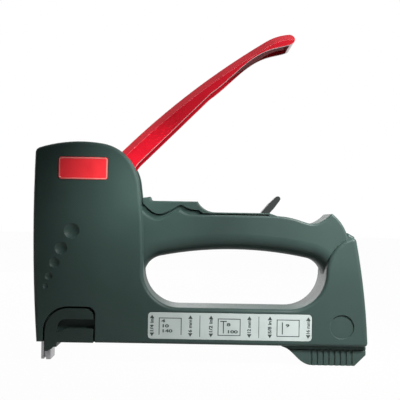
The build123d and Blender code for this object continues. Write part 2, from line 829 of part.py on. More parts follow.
with BuildPart() as driver_blade:
    with BuildSketch(lengthwise_plane(blade_x)):
        with BuildLine():
            half_blade = staple_crown / 2 - staple_slack
            half_head = driver_head / 2
            head_foot = hammer_top - driver_head_height
            neck_foot = head_foot - half_head + half_blade
            Polyline(
                (-half_blade, nose_tip_gap),
                (half_blade, nose_tip_gap),
                (half_blade, neck_foot),
                (half_head, head_foot),
                (half_head, hammer_top),
                (-half_head, hammer_top),
                (-half_head, head_foot),
                (-half_blade, neck_foot),
                close=True,
            )
        make_face()
        with Locations(*rivet_spots):
            Circle(rivet_dia / 2, mode=Mode.SUBTRACT)
    extrude(amount=driver_thick)

with BuildPart() as driver_rivets:
    with BuildSketch(lengthwise_plane(blade_x)):
        with Locations(*rivet_spots):
            Circle(rivet_dia / 2)
    extrude(amount=driver_thick + rivet_head)
    with BuildSketch(lengthwise_plane(blade_x)):
        with Locations(*rivet_spots):
            Circle(rivet_head / 2)
    extrude(amount=-rivet_head_thick)

spring_head = roof_z - seat_gap - cap_thick
coil_radius = (spring_dia - spring_wire) / 2
coil_height = spring_head - spring_floor - spring_wire - 2 * seat_gap
turn_gap("drive_spring", coil_radius, coil_height / spring_turns, spring_wire)

with BuildPart() as drive_spring:
    with BuildLine() as drive_path:
        foot_plane = Plane.XY.move(Location((hammer_mid, 0, spring_floor + seat_gap + spring_wire / 2)))
        helix_arcs(foot_plane, coil_radius, coil_height / spring_turns, 0, spring_turns)
    with BuildSketch(Plane(origin=drive_path.line @ 0, z_dir=drive_path.line % 0)):
        RegularPolygon(spring_wire / 2, wire_sides)
    sweep(clean=False)

with BuildPart() as spring_cap:
    with BuildSketch(Plane.XY.offset(spring_head)):
        with Locations((hammer_mid, 0)):
            Circle(spring_dia / 2)
    extrude(amount=cap_thick)
    with BuildSketch(Plane.XY.offset(spring_head)):
        with Locations((hammer_mid, 0)):
            Circle(coil_radius - spring_wire / 2 - spring_gap)
    extrude(amount=-cap_spigot)

# Nose steel: a front plate and a rear guide with the driver's slot between them, and the bumper on its shelf
with BuildPart() as nose_front_plate:
    with BuildSketch(lengthwise_plane(plate_x)) as plate_face:
        with Locations((0, 0)):
            Rectangle(2 * channel_half, plate_height, align=(Align.CENTER, Align.MIN))
        fillet(plate_face.vertices(), plate_thick)
    extrude(amount=plate_thick)

guide_half = cavity_half - fit_gap

with BuildPart() as nose_rear_guide:
    with BuildSketch(lengthwise_plane(guide_x)):
        Rectangle(2 * channel_half, shelf_z, align=(Align.CENTER, Align.MIN))
        with Locations((0, mech_z + seat_gap)):
            Rectangle(2 * guide_half, shelf_z - mech_z - seat_gap, align=(Align.CENTER, Align.MIN))
        with Locations((0, base_z)):
            Rectangle(2 * channel_inner, channel_height - channel_sheet, align=(Align.CENTER, Align.MIN),
                      mode=Mode.SUBTRACT)
    extrude(amount=guide_thick)
    with BuildSketch(Plane.XY.offset(shelf_z)):
        with Locations((guide_x, 0)):
            Rectangle(hammer_depth, 2 * guide_half, align=(Align.MIN, Align.CENTER))
    extrude(amount=-guide_thick)

with BuildPart() as bumper:
    with BuildSketch(Plane.XY.offset(shelf_z)):
        with Locations((hammer_mid + driver_slack, 0)):
            RectangleRounded(hammer_depth - 2 * fit_gap, 2 * hammer_half, edge_round)
    extrude(amount=bumper_thick)

# Staple channel, an upturned trough fixed in the base
channel_front = guide_x + guide_thick
block_front = tail_x - foot_block

with BuildPart() as staple_channel:
    with BuildSketch(lengthwise_plane(channel_front)):
        with Locations((0, base_z + rail_lift)):
            Rectangle(2 * channel_half, channel_height - rail_lift, align=(Align.CENTER, Align.MIN))
            Rectangle(2 * channel_inner, channel_height - rail_lift - channel_sheet,
                      align=(Align.CENTER, Align.MIN), mode=Mode.SUBTRACT)
    extrude(amount=block_front - fit_gap - channel_front)

# Magazine: a trough that the staples straddle, its foot at the tail, and the spring-loaded pusher
rail_half = channel_inner - staple_room
rail_front = guide_x + driver_slack
rail_z = base_z + rail_lift
rail_top = channel_top - channel_sheet - rail_crown_room
rod_z = (rail_z + rail_top) / 2
tongue_front = block_front - pusher_length

with BuildPart() as magazine_rail:
    with BuildSketch(lengthwise_plane(rail_front)):
        with Locations((0, rail_z)):
            Rectangle(2 * rail_half, rail_top - rail_z, align=(Align.CENTER, Align.MIN))
    extrude(amount=block_front - rail_front)
    with BuildSketch(lengthwise_plane(rail_front + rail_sheet)):
        with Locations((0, rail_z + rail_sheet)):
            Rectangle(2 * (rail_half - rail_sheet), rail_top - rail_z, align=(Align.CENTER, Align.MIN))
    extrude(amount=body_length, mode=Mode.SUBTRACT)
    with BuildSketch(lengthwise_plane(rail_front)):
        with Locations((0, rod_z)):
            Circle(rod_dia / 2)
    extrude(amount=rail_sheet, mode=Mode.SUBTRACT)
    with BuildSketch(side_plane(-rail_half)):
        with Locations((block_front - pusher_length / 2, rod_z)):
            Circle(rivet_dia / 2)
    extrude(amount=2 * rail_half, mode=Mode.SUBTRACT)

foot_z = base_z - foot_gap
foot_front = tail_x - foot_length
foot_flat = foot_front + foot_ramp
foot_rear = tail_x - 2 * foot_gap

with BuildPart() as magazine_foot:
    with BuildSketch(Plane.XZ):
        with BuildLine():
            Line((foot_front, foot_z), (foot_front, foot_z - foot_gap))
            Spline((foot_front, foot_z - foot_gap), (foot_flat, 0), tangents=[foot_entry, foot_exit])
            Polyline((foot_flat, 0), (foot_rear - foot_chamfer, 0), (foot_rear, foot_chamfer),
                     (foot_rear, foot_z), (foot_front, foot_z))
        make_face()
    extrude(amount=foot_width / 2, both=True)
    for hand in (1, -1):
        with BuildSketch(side_plane(hand * foot_width / 2)):
            for index in range(foot_ribs):
                with Locations((foot_flat + index * foot_rib_pitch, 0)):
                    Rectangle(foot_rib_cut, foot_z - foot_lip, align=(Align.CENTER, Align.MIN))
            with Locations((foot_front, foot_z - foot_lip)):
                Rectangle(foot_length, foot_lip_gap, align=(Align.MIN, Align.MAX))
        extrude(amount=-hand * foot_rib_depth, mode=Mode.SUBTRACT)
    with BuildSketch(lengthwise_plane(block_front)):
        with Locations((0, foot_z)):
            Rectangle(2 * (slot_half - fit_gap), channel_top - foot_z - fit_gap, align=(Align.CENTER, Align.MIN))
    extrude(amount=foot_rear - block_front)
    with BuildSketch(lengthwise_plane(tongue_front)):
        with Locations((0, rail_z + rail_sheet + seat_gap)):
            Rectangle(2 * (rail_half - rail_sheet - seat_gap), rail_top - rail_z - 2 * rail_sheet,
                      align=(Align.CENTER, Align.MIN))
    extrude(amount=pusher_length)
    with BuildSketch(lengthwise_plane(tongue_front)):
        with Locations((0, rod_z)):
            Circle(rod_dia / 2)
    extrude(amount=rod_seat, mode=Mode.SUBTRACT)
    with BuildSketch(side_plane(-rail_half)):
        with Locations((block_front - pusher_length / 2, rod_z)):
            Circle(rivet_dia / 2)
    extrude(amount=2 * rail_half, mode=Mode.SUBTRACT)

with BuildPart() as magazine_rivet:
    with BuildSketch(side_plane(-rail_half)):
        with Locations((block_front - pusher_length / 2, rod_z)):
            Circle(rivet_dia / 2)
    extrude(amount=2 * rail_half)
    for hand in (1, -1):
        with BuildSketch(side_plane(hand * rail_half)):
            with Locations((block_front - pusher_length / 2, rod_z)):
                Circle(rivet_head / 2)
        extrude(amount=hand * rivet_head_thick)

with BuildPart() as pusher_rod:
    with BuildSketch(lengthwise_plane(rail_front)):
        with Locations((0, rod_z)):
            Circle(rod_dia / 2)
    extrude(amount=tongue_front + rod_seat - rail_front)

pusher_front = rail_front + rail_sheet + fit_gap
pusher_rear = pusher_front + pusher_length

with BuildPart() as pusher:
    with BuildSketch(lengthwise_plane(pusher_front)):
        with Locations((0, rail_z + rail_sheet)):
            cover = rail_top + fit_gap - rail_z
            Rectangle(2 * (channel_inner - fit_gap), cover, align=(Align.CENTER, Align.MIN))
            Rectangle(2 * (rail_half + fit_gap), cover - rail_sheet, align=(Align.CENTER, Align.MIN),
                      mode=Mode.SUBTRACT)
        with Locations((0, rail_z + rail_sheet + 2 * fit_gap)):
            Rectangle(2 * (rail_half - rail_sheet - fit_gap), cover - 2 * fit_gap,
                      align=(Align.CENTER, Align.MIN))
        with Locations((0, rod_z)):
            Circle(rod_dia / 2 + running_gap, mode=Mode.SUBTRACT)
    extrude(amount=pusher_length)

pusher_radius = (pusher_coil - pusher_wire) / 2
pusher_span = tongue_front - pusher_rear - pusher_wire - 2 * fit_gap
turn_gap("pusher_spring", pusher_radius, pusher_span / pusher_turns, pusher_wire)

with BuildPart() as pusher_spring:
    with BuildLine() as pusher_path:
        start_plane = Plane(origin=(pusher_rear + fit_gap + pusher_wire / 2, 0, rod_z), x_dir=(0, 1, 0),
                            z_dir=(1, 0, 0))
        helix_arcs(start_plane, pusher_radius, pusher_span / pusher_turns, 0, pusher_turns)
    with BuildSketch(Plane(origin=pusher_path.line @ 0, z_dir=pusher_path.line % 0)):
        RegularPolygon(pusher_wire / 2, fine_wire_sides)
    sweep(clean=False)

# Nose latch: two side plates with a curved arm over a window, joined under the nose by a bar, on two stub pins
plate_outer = half_width - latch_floor_gap
plate_inner = plate_outer - latch_thick
plate_left = recess_left + latch_gap
plate_right = recess_right - latch_gap
arm_top = recess_top - latch_gap
elbow = Vector(plate_left + latch_arch - latch_gap, recess_top - latch_arch)
window_top = arm_top - latch_arm
window_sill = base_z + latch_block_height
window_left = plate_left + latch_stem
window_end = plate_right + latch_gap
sill_step = Vector(window_left + latch_sill_run, window_sill)
bar_front = guide_x + guide_thick + latch_toe_gap
bar_rear = plate_left + latch_stem
bar_top = foot_z - fit_gap
toe_foot = base_z - latch_toe_reach

with BuildPart() as nose_latch:
    for plane in (side_plane(plate_inner), side_plane(-plate_outer)):
        with BuildSketch(plane):
            with BuildLine():
                Line((plate_left, toe_foot), (plate_left, elbow.Y))
                CenterArc(elbow, latch_arch - latch_gap, 180, -90)
                Line((elbow.X, arm_top), (plate_right - latch_corner, arm_top))
                CenterArc((plate_right - latch_corner, arm_top - latch_corner), latch_corner, 90, -90)
                Polyline((plate_right, arm_top - latch_corner), (plate_right, base_z), (bar_rear, base_z),
                         (bar_rear - latch_toe_lean, toe_foot + latch_toe_tip),
                         (plate_left + latch_toe_tip, toe_foot), (plate_left, toe_foot))
            make_face()
            with BuildLine():
                Line((window_end, window_sill), sill_step)
                sill_end = Vector(window_left, window_sill - latch_sill_drop)
                Spline(sill_step, sill_end, tangents=[(-1, 0), latch_sill_exit])
                rise = Line(sill_end, (window_left, window_sill))
                bend = TangentArc(rise @ 1, (window_left + latch_bend, window_top), tangent=(0, 1))
                Polyline(bend @ 1, (window_end, window_top), (window_end, window_sill))
            make_face(mode=Mode.SUBTRACT)
        extrude(amount=latch_thick)
    with BuildSketch(side_plane(-plate_outer)):
        with BuildLine():
            Polyline((bar_front, bar_top), (bar_front, bar_top - latch_toe_depth),
                     (bar_rear, bar_top - latch_toe_depth), (bar_rear, bar_top), close=True)
        make_face()
    extrude(amount=2 * plate_outer)
    for hand in (1, -1):
        with BuildSketch(side_plane(hand * plate_inner)):
            with Locations(latch_pin):
                Circle(latch_pin_dia / 2 + running_gap)
        extrude(amount=hand * (latch_thick / 2 + latch_floor_gap), mode=Mode.SUBTRACT)

with BuildPart() as nose_latch_pins:
    for hand in (1, -1):
        with BuildSketch(side_plane(hand * (recess_floor - latch_pin_seat))):
            with Locations(latch_pin):
                Circle(latch_pin_dia / 2)
        extrude(amount=hand * (latch_pin_seat + latch_floor_gap + latch_thick / 2))

# Lever lock, a leaning paddle on a pin
lean = Vector(cos(radians(lock_lean)), sin(radians(lock_lean)))
lock_middle = lock_pivot + lean * lock_swell_at
lock_end = lock_pivot + lean * (lock_length - lock_tip)

with BuildPart() as lever_lock:
    with BuildSketch(side_plane(-lock_width / 2)):
        with Locations(lock_pivot):
            Circle(lock_boss)
        with Locations(lock_middle):
            Circle(lock_swell)
        with Locations(lock_end):
            Circle(lock_tip)
        with BuildLine():
            Polyline(*web(lock_pivot, lock_neck, lock_middle, lock_swell), close=True)
        make_face()
        with BuildLine():
            Polyline(*web(lock_middle, lock_swell, lock_end, lock_tip), close=True)
        make_face()
        with Locations(lock_pivot):
            Circle(lock_pin_dia / 2 + running_gap, mode=Mode.SUBTRACT)
    extrude(amount=lock_width)

with BuildPart() as lock_pin:
    with BuildSketch(Plane.XZ):
        with Locations(lock_pivot):
            Circle(lock_pin_dia / 2)
    extrude(amount=lock_pin_length / 2, both=True)

# Badge plate and size label on the left side
with BuildPart() as badge:
    with BuildSketch(side_plane(half_width - badge_thick + badge_proud)):
        with Locations(badge_place):
            RectangleRounded(badge_length, badge_height, badge_round)
    extrude(amount=badge_thick)
    fillet(outer_rim(badge), badge_edge)

with BuildPart() as size_label:
    with BuildSketch(side_plane(half_width - label_thick + label_proud)):
        with Locations(label_place):
            RectangleRounded(label_length, label_height, label_round)
    extrude(amount=label_thick)

os.makedirs("parts", exist_ok=True)
save(left_housing, "left_housing")
save(right_housing, "right_housing")
save(housing_screws, "housing_screws")
save(lever, "lever")
save(lever_pivot_pin, "lever_pivot_pin")
save(spacer_bush, "spacer_bush")
save(lever_return_spring, "lever_return_spring")
save(hammer, "hammer")
save(lift_pins, "lift_pins")
save(driver_blade, "driver_blade")
save(driver_rivets, "driver_rivets")
save(drive_spring, "drive_spring")
save(spring_cap, "spring_cap")
save(nose_front_plate, "nose_front_plate")
save(nose_rear_guide, "nose_rear_guide")
save(bumper, "bumper")
save(staple_channel, "staple_channel")
save(magazine_rail, "magazine_rail")
save(magazine_foot, "magazine_foot")
save(magazine_rivet, "magazine_rivet")
save(pusher_rod, "pusher_rod")
save(pusher, "pusher")
save(pusher_spring, "pusher_spring")
save(nose_latch, "nose_latch")
save(nose_latch_pins, "nose_latch_pins")
save(lever_lock, "lever_lock")
save(lock_pin, "lock_pin")
save(badge, "badge")
save(size_label, "size_label")
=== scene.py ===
"""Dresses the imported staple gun: finishes, size chart, wound springs, screws, light and camera.

All sizes are in metres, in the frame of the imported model: X from the nose to the tail, Y across
the tool with the left side towards -Y, and Z up from the bench.
"""

import logging
import math
from dataclasses import dataclass, field
from enum import Enum

import bmesh
import bpy
from mathutils import Matrix, Vector


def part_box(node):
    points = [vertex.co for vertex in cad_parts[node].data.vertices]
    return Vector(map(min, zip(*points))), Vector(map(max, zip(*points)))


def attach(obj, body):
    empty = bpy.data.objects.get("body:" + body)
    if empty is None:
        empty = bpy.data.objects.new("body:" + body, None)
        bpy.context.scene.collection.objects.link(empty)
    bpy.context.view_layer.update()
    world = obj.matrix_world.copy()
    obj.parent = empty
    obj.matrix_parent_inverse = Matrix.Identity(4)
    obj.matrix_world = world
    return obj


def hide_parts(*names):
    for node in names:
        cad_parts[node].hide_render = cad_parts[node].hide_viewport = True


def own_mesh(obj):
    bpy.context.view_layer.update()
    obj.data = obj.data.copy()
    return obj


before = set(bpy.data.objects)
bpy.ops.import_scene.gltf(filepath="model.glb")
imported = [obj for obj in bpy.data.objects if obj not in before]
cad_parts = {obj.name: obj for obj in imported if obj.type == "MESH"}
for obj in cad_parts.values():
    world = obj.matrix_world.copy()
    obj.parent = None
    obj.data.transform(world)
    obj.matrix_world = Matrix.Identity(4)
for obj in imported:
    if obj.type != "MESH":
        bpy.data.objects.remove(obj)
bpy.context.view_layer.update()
log = logging.getLogger("staple_gun")

Colour = tuple[float, float, float]
Point = tuple[float, float, float]
Span = tuple[float, float]

MM = 0.001
FULL: Span = (0.0, 1.0)
WHITE: Colour = (1.0, 1.0, 1.0)
EDGE_SAMPLES = 4
UNIT_SQUARE = 0.5
QUARTER_TURN = math.pi / 2


class Body(Enum):
    """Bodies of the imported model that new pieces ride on."""

    SHELL = "body"
    MAGAZINE = "magazine"


class Slot(Enum):
    """Material slots of the record, handed to new pieces but not read by them."""

    LABEL = "label_film"
    ZINC = "zinc_steel"
    SPRING = "spring_steel"
    BADGE = "badge_red"


class Brushing(Enum):
    """Direction in which a steel part was ground, as stretch factors of its scratch pattern."""

    LENGTHWISE = (0.03, 1.0, 1.0)
    UPRIGHT = (1.0, 1.0, 0.03)
    TURNED = (1.0, 0.2, 1.0)


class Graph:
    """Adds, feeds and links the nodes of one shader tree."""

    def __init__(self, tree: bpy.types.NodeTree) -> None:
        """Keep the tree and start it empty."""
        self.tree = tree
        tree.nodes.clear()

    def add(self, kind: str, feeds: dict[str | int, object] | None = None,
            **settings: object) -> bpy.types.Node:
        """Add one node.

        Args:
            kind: Blender's name of the node type, without the Shader prefix.
            feeds: values or sockets for the node's inputs, by name or number.
            settings: properties of the node.

        Returns:
            The new node.
        """
        node = self.tree.nodes.new(kind if kind.startswith("NodeGroup") else f"ShaderNode{kind}")
        for name, value in settings.items():
            setattr(node, name, value)
        for key, value in (feeds or {}).items():
            socket = node.inputs[key]
            if isinstance(value, bpy.types.NodeSocket):
                self.tree.links.new(value, socket)
            else:
                socket.default_value = value
        return node

    def math(self, operation: str, first: object, second: object = 0.0) -> bpy.types.NodeSocket:
        """Result of a sum on two numbers or sockets."""
        return self.add("Math", {0: first, 1: second}, operation=operation).outputs[0]

    def times(self, first: object, second: object) -> bpy.types.NodeSocket:
        """Product of two numbers or sockets."""
        return self.math("MULTIPLY", first, second)

    def ramp(self, value: bpy.types.NodeSocket, source: Span, target: Span) -> bpy.types.NodeSocket:
        """Map a value smoothly from one span to another.

        Args:
            value: the socket that is mapped.
            source: values that give the two ends of the target.
            target: results at the two ends of the source.

        Returns:
            The mapped value's socket.
        """
        feeds = {"Value": value, "From Min": source[0], "From Max": source[1],
                 "To Min": target[0], "To Max": target[1]}
        return self.add("MapRange", feeds, interpolation_type="SMOOTHSTEP").outputs["Result"]

    def blend(self, share: object, first: object, second: object) -> bpy.types.NodeSocket:
        """Colour between two colours or sockets, by a share from 0 to 1."""
        return self.add("Mix", {0: share, 6: first, 7: second}, data_type="RGBA").outputs[2]

    def noise(self, place: bpy.types.NodeSocket, scale: object,
              detail: float) -> bpy.types.NodeSocket:
        """Smooth noise from 0 to 1 at a place."""
        feeds = {"Vector": place, "Scale": scale, "Detail": detail}
        return self.add("TexNoise", feeds).outputs[0]

    def relief(self, height: bpy.types.NodeSocket, strength: float, depth: float,
               edge: float = 0.0) -> bpy.types.NodeSocket:
        """Normal of a fine relief, over edges that shade as if rounded.

        Args:
            height: the relief's height, from 0 to 1.
            strength: how much of the relief shows.
            depth: the relief's depth.
            edge: radius of the rounded edges, or 0 to leave them sharp.

        Returns:
            The normal's socket.
        """
        feeds = {"Strength": strength, "Distance": depth, "Height": height}
        if edge:
            rounded = self.add("Bevel", {"Radius": edge}, samples=EDGE_SAMPLES)
            feeds["Normal"] = rounded.outputs["Normal"]
        return self.add("Bump", feeds).outputs[0]


def new_material(name: str) -> tuple[bpy.types.Material, Graph]:
    """Make a material with an empty shader tree.

    Args:
        name: the material's name.

    Returns:
        The material and its tree.
    """
    made = bpy.data.materials.new(name)
    made.use_nodes = True
    return made, Graph(made.node_tree)


def opaque(colour: Colour) -> tuple[float, float, float, float]:
    """Colour with full cover, as a colour socket takes it."""
    return (*colour, 1.0)


class Effect:
    """A surface effect that several finishes share, kept as one shader node group."""

    def __init__(self, name: str, takes: dict[str, float], gives: list[str]) -> None:
        """Make the group with its named inputs and outputs.

        Args:
            name: the group's name.
            takes: inputs with their first values.
            gives: outputs, all plain numbers.
        """
        self.group = bpy.data.node_groups.new(name, "ShaderNodeTree")
        sockets = self.group.interface
        for title, value in takes.items():
            socket = sockets.new_socket(title, in_out="INPUT", socket_type="NodeSocketFloat")
            socket.default_value = value
        for title in gives:
            sockets.new_socket(title, in_out="OUTPUT", socket_type="NodeSocketFloat")
        self.graph = Graph(self.group)
        self.source = self.graph.add("NodeGroupInput").outputs
        self.sink = self.graph.add("NodeGroupOutput").inputs
        self.place = self.graph.add("TexCoord").outputs["Object"]

    def give(self, title: str, socket: bpy.types.NodeSocket) -> None:
        """Link a result to one of the group's outputs."""
        self.group.links.new(socket, self.sink[title])

    def placed(self, graph: Graph, **values: float) -> bpy.types.bpy_prop_collection:
        """Place the effect in a material.

        Args:
            graph: the material's tree.
            values: the material's own values for the inputs.

        Returns:
            The effect's outputs, by name.
        """
        node = graph.add("Group", node_tree=self.group)
        for title, value in values.items():
            node.inputs[title].default_value = value
        return node.outputs


@dataclass
class SurfaceEffects:
    """The effects that the finishes share."""

    fine_share: float = 0.7
    coarse_share: float = 0.3
    coarse_cells: float = 0.35
    tone_cells: float = 0.012
    edge_match: Span = (0.995, 0.90)
    patch_cloud: Span = (0.35, 0.65)
    patch_mask: Span = (0.25, 1.0)
    smudge_cloud: Span = (0.42, 0.7)

    def __post_init__(self) -> None:
        """Build each effect once."""
        self.grain = self.moulded_grain()
        self.rub = self.edge_rub_and_highlight()
        self.seam = self.parting_seam()
        self.film = self.handling_film()

    def moulded_grain(self) -> Effect:
        """Spark-eroded mould grain: a fine height and a slow change of tone.

        Returns:
            The effect.
        """
        effect = Effect("moulded grain", {"Cells": 2600.0}, ["Height", "Tone"])
        graph, cells = effect.graph, effect.source["Cells"]
        fine = graph.noise(effect.place, cells, detail=2.0)
        coarse = graph.noise(effect.place, graph.times(cells, self.coarse_cells), detail=1.0)
        fine, coarse = graph.times(fine, self.fine_share), graph.times(coarse, self.coarse_share)
        effect.give("Height", graph.math("ADD", fine, coarse))
        tone = graph.noise(effect.place, graph.times(cells, self.tone_cells), detail=3.0)
        effect.give("Tone", tone)
        return effect

    def edge_rub_and_highlight(self) -> Effect:
        """Mask of edges, for rubbed wear and for the painted highlight on enamel creases: where a
        rounded normal leaves the true one, broken up by noise.

        Returns:
            The effect.
        """
        effect = Effect("edge rub", {"Reach": 0.0004, "Patches": 300.0}, ["Mask"])
        graph = effect.graph
        bevel = graph.add("Bevel", {"Radius": effect.source["Reach"]}, samples=EDGE_SAMPLES)
        normals = {0: bevel.outputs["Normal"], 1: graph.add("NewGeometry").outputs["Normal"]}
        match = graph.add("VectorMath", normals, operation="DOT_PRODUCT").outputs["Value"]
        edge = graph.ramp(match, self.edge_match, FULL)
        cloud = graph.noise(effect.place, effect.source["Patches"], detail=3.0)
        patch = graph.ramp(cloud, self.patch_cloud, self.patch_mask)
        effect.give("Mask", graph.times(edge, patch))
        return effect

    def parting_seam(self) -> Effect:
        """Mask of the thin seam on the centre plane, where the two shells meet.

        Returns:
            The effect.
        """
        effect = Effect("parting seam", {"Half Width": 0.00016}, ["Mask"])
        graph = effect.graph
        across = graph.add("SeparateXYZ", {0: effect.place}).outputs["Y"]
        across = graph.math("ABSOLUTE", across)
        effect.give("Mask", graph.math("LESS_THAN", across, effect.source["Half Width"]))
        return effect

    def handling_film(self) -> Effect:
        """Faint smudges that dull a glossy surface here and there.

        Returns:
            The effect.
        """
        effect = Effect("handling film", {"Patches": 90.0}, ["Smudge"])
        cloud = effect.graph.noise(effect.place, effect.source["Patches"], detail=4.0)
        effect.give("Smudge", effect.graph.ramp(cloud, self.smudge_cloud, FULL))
        return effect


@dataclass(frozen=True)
class Finish:
    """A finish that is built as a material."""

    name: str

    def material(self, effects: SurfaceEffects) -> bpy.types.Material:
        """Build the finish as a material.

        Args:
            effects: the shared surface effects.

        Returns:
            The material.
        """
        made, graph = new_material(self.name)
        shader = self.shade(graph, effects)
        graph.add("OutputMaterial", {"Surface": shader.outputs[0]})
        return made

    def shade(self, graph: Graph, effects: SurfaceEffects) -> bpy.types.Node:
        """Build the shader; each kind of finish has its own."""
        raise NotImplementedError


@dataclass(frozen=True)
class MouldedPlastic(Finish):
    """Moulded plastic with a fine grain and lightly rubbed edges, and a seam on a shell."""

    colour: Colour
    rubbed: Colour
    roughness: float = 0.5
    gloss_swing: Span = (-0.04, 0.06)
    gloss_cloud: Span = (0.3, 0.7)
    depth: float = 0.00003
    strength: float = 0.5
    cells: float = 2600.0
    edge: float = 0.0005
    rounding: float = 0.6
    wear: float = 0.45
    polish: float = 0.2
    tone_cloud: Span = (0.3, 0.75)
    tone_share: float = 0.12
    seam: float = 0.0
    seam_share: float = 0.75
    seam_colour: Colour = (0.004, 0.005, 0.005)
    specular: float = 0.25

    def shade(self, graph: Graph, effects: SurfaceEffects) -> bpy.types.Node:
        """Build the shader.

        Args:
            graph: the material's tree.
            effects: the shared surface effects.

        Returns:
            The shader's node.
        """
        grain = effects.grain.placed(graph, Cells=self.cells)
        rub = effects.rub.placed(graph, Reach=self.edge)["Mask"]
        worn = graph.times(rub, self.wear)
        tone = graph.ramp(grain["Tone"], self.tone_cloud, (0.0, self.tone_share))
        tone = graph.math("ADD", worn, tone)
        colour = graph.blend(tone, opaque(self.colour), opaque(self.rubbed))
        if self.seam:
            seam = effects.seam.placed(graph, **{"Half Width": self.seam})["Mask"]
            dark = graph.times(seam, self.seam_share)
            colour = graph.blend(dark, colour, opaque(self.seam_colour))
        low, high = self.gloss_swing
        swing = (self.roughness + low, self.roughness + high)
        dull = graph.ramp(grain["Height"], self.gloss_cloud, swing)
        rough = graph.math("SUBTRACT", dull, graph.times(worn, self.polish))
        edge = self.edge * self.rounding
        normal = graph.relief(grain["Height"], self.strength, self.depth, edge)
        return graph.add("BsdfPrincipled", {
            "Base Color": colour, "Roughness": rough, "Normal": normal,
            "Specular IOR Level": self.specular})


@dataclass(frozen=True)
class Enamel(Finish):
    """Glossy paint with a faint orange peel, smudges, and a painted highlight: a pale colour on
    creases and edges.
    """

    colour: Colour
    deep: Colour
    crease_highlight: Colour
    roughness: float = 0.26
    dulling: float = 0.08
    deep_share: float = 0.6
    crease_highlight_rub: Span = (0.02, 0.3)
    crease_highlight_share: float = 0.5
    peel: float = 0.00001
    peel_cells: float = 130.0
    strength: float = 0.3
    edge: float = 0.0004
    specular: float = 0.15
    coat: float = 0.75
    coat_roughness: float = 0.18

    def shade(self, graph: Graph, effects: SurfaceEffects) -> bpy.types.Node:
        """Build the shader.

        Args:
            graph: the material's tree.
            effects: the shared surface effects.

        Returns:
            The shader's node.
        """
        place = graph.add("TexCoord").outputs["Object"]
        wave = graph.noise(place, self.peel_cells, detail=0.0)
        smudge = effects.film.placed(graph)["Smudge"]
        rub = effects.rub.placed(graph, Reach=self.edge)["Mask"]
        tone = graph.ramp(smudge, FULL, (0.0, self.deep_share))
        colour = graph.blend(tone, opaque(self.colour), opaque(self.deep))
        # Painted highlight: a pale colour along creases and edges, standing in for the light that
        # they catch.
        pale = graph.ramp(rub, self.crease_highlight_rub, (0.0, self.crease_highlight_share))
        colour = graph.blend(pale, colour, opaque(self.crease_highlight))
        rough = graph.ramp(smudge, FULL, (self.roughness, self.roughness + self.dulling))
        rough = graph.math("ADD", rough, graph.times(rub, self.dulling))
        normal = graph.relief(wave, self.strength, self.peel, self.edge)
        return graph.add("BsdfPrincipled", {
            "Base Color": colour, "Roughness": rough, "Normal": normal,
            "Specular IOR Level": self.specular,
            "Coat Weight": self.coat, "Coat Roughness": self.coat_roughness})


@dataclass(frozen=True)
class Steel(Finish):
    """Bare or plated steel with grinding marks in one direction and brighter rubbed edges."""

    colour: Colour
    dark: Colour
    brushing: Brushing
    roughness: float = 0.3
    gloss_swing: Span = (-0.08, 0.12)
    gloss_marks: Span = (0.25, 0.75)
    marks: float = 3000.0
    depth: float = 0.00002
    strength: float = 0.35
    stains: float = 160.0
    stain_share: float = 0.6
    rub_reach: float = 0.0003
    rub_share: float = 0.5
    edge: float = 0.0002

    def shade(self, graph: Graph, effects: SurfaceEffects) -> bpy.types.Node:
        """Build the shader.

        Args:
            graph: the material's tree.
            effects: the shared surface effects.

        Returns:
            The shader's node.
        """
        place = graph.add("TexCoord").outputs["Object"]
        drawn = graph.add("Mapping", {"Vector": place, "Scale": self.brushing.value}).outputs[0]
        marks = graph.noise(drawn, self.marks, detail=3.0)
        smudge = effects.film.placed(graph, Patches=self.stains)["Smudge"]
        rub = effects.rub.placed(graph, Reach=self.rub_reach)["Mask"]
        stain, bright = graph.times(smudge, self.stain_share), graph.times(rub, self.rub_share)
        stain = graph.math("MAXIMUM", graph.math("SUBTRACT", stain, bright), 0.0)
        colour = graph.blend(stain, opaque(self.colour), opaque(self.dark))
        low, high = self.gloss_swing
        rough = graph.ramp(marks, self.gloss_marks, (self.roughness + low, self.roughness + high))
        normal = graph.relief(marks, self.strength, self.depth, self.edge)
        return graph.add("BsdfPrincipled", {
            "Base Color": colour, "Roughness": rough, "Normal": normal, "Metallic": 1.0})


@dataclass(frozen=True)
class PrintedFilm(Finish):
    """Satin film or ink, with a fine tooth and faint stains."""

    colour: Colour
    stain: Colour
    roughness: float = 0.42
    gloss_swing: Span = (-0.05, 0.08)
    gloss_cloud: Span = (0.3, 0.7)
    cells: float = 4200.0
    depth: float = 0.00001
    strength: float = 0.2
    stains: float = 110.0
    stain_share: float = 0.5

    def shade(self, graph: Graph, effects: SurfaceEffects) -> bpy.types.Node:
        """Build the shader.

        Args:
            graph: the material's tree.
            effects: the shared surface effects.

        Returns:
            The shader's node.
        """
        tooth = effects.grain.placed(graph, Cells=self.cells)["Height"]
        smudge = effects.film.placed(graph, Patches=self.stains)["Smudge"]
        stain = graph.times(smudge, self.stain_share)
        colour = graph.blend(stain, opaque(self.colour), opaque(self.stain))
        low, high = self.gloss_swing
        rough = graph.ramp(tooth, self.gloss_cloud, (self.roughness + low, self.roughness + high))
        normal = graph.relief(tooth, self.strength, self.depth)
        return graph.add("BsdfPrincipled", {
            "Base Color": colour, "Roughness": rough, "Normal": normal})


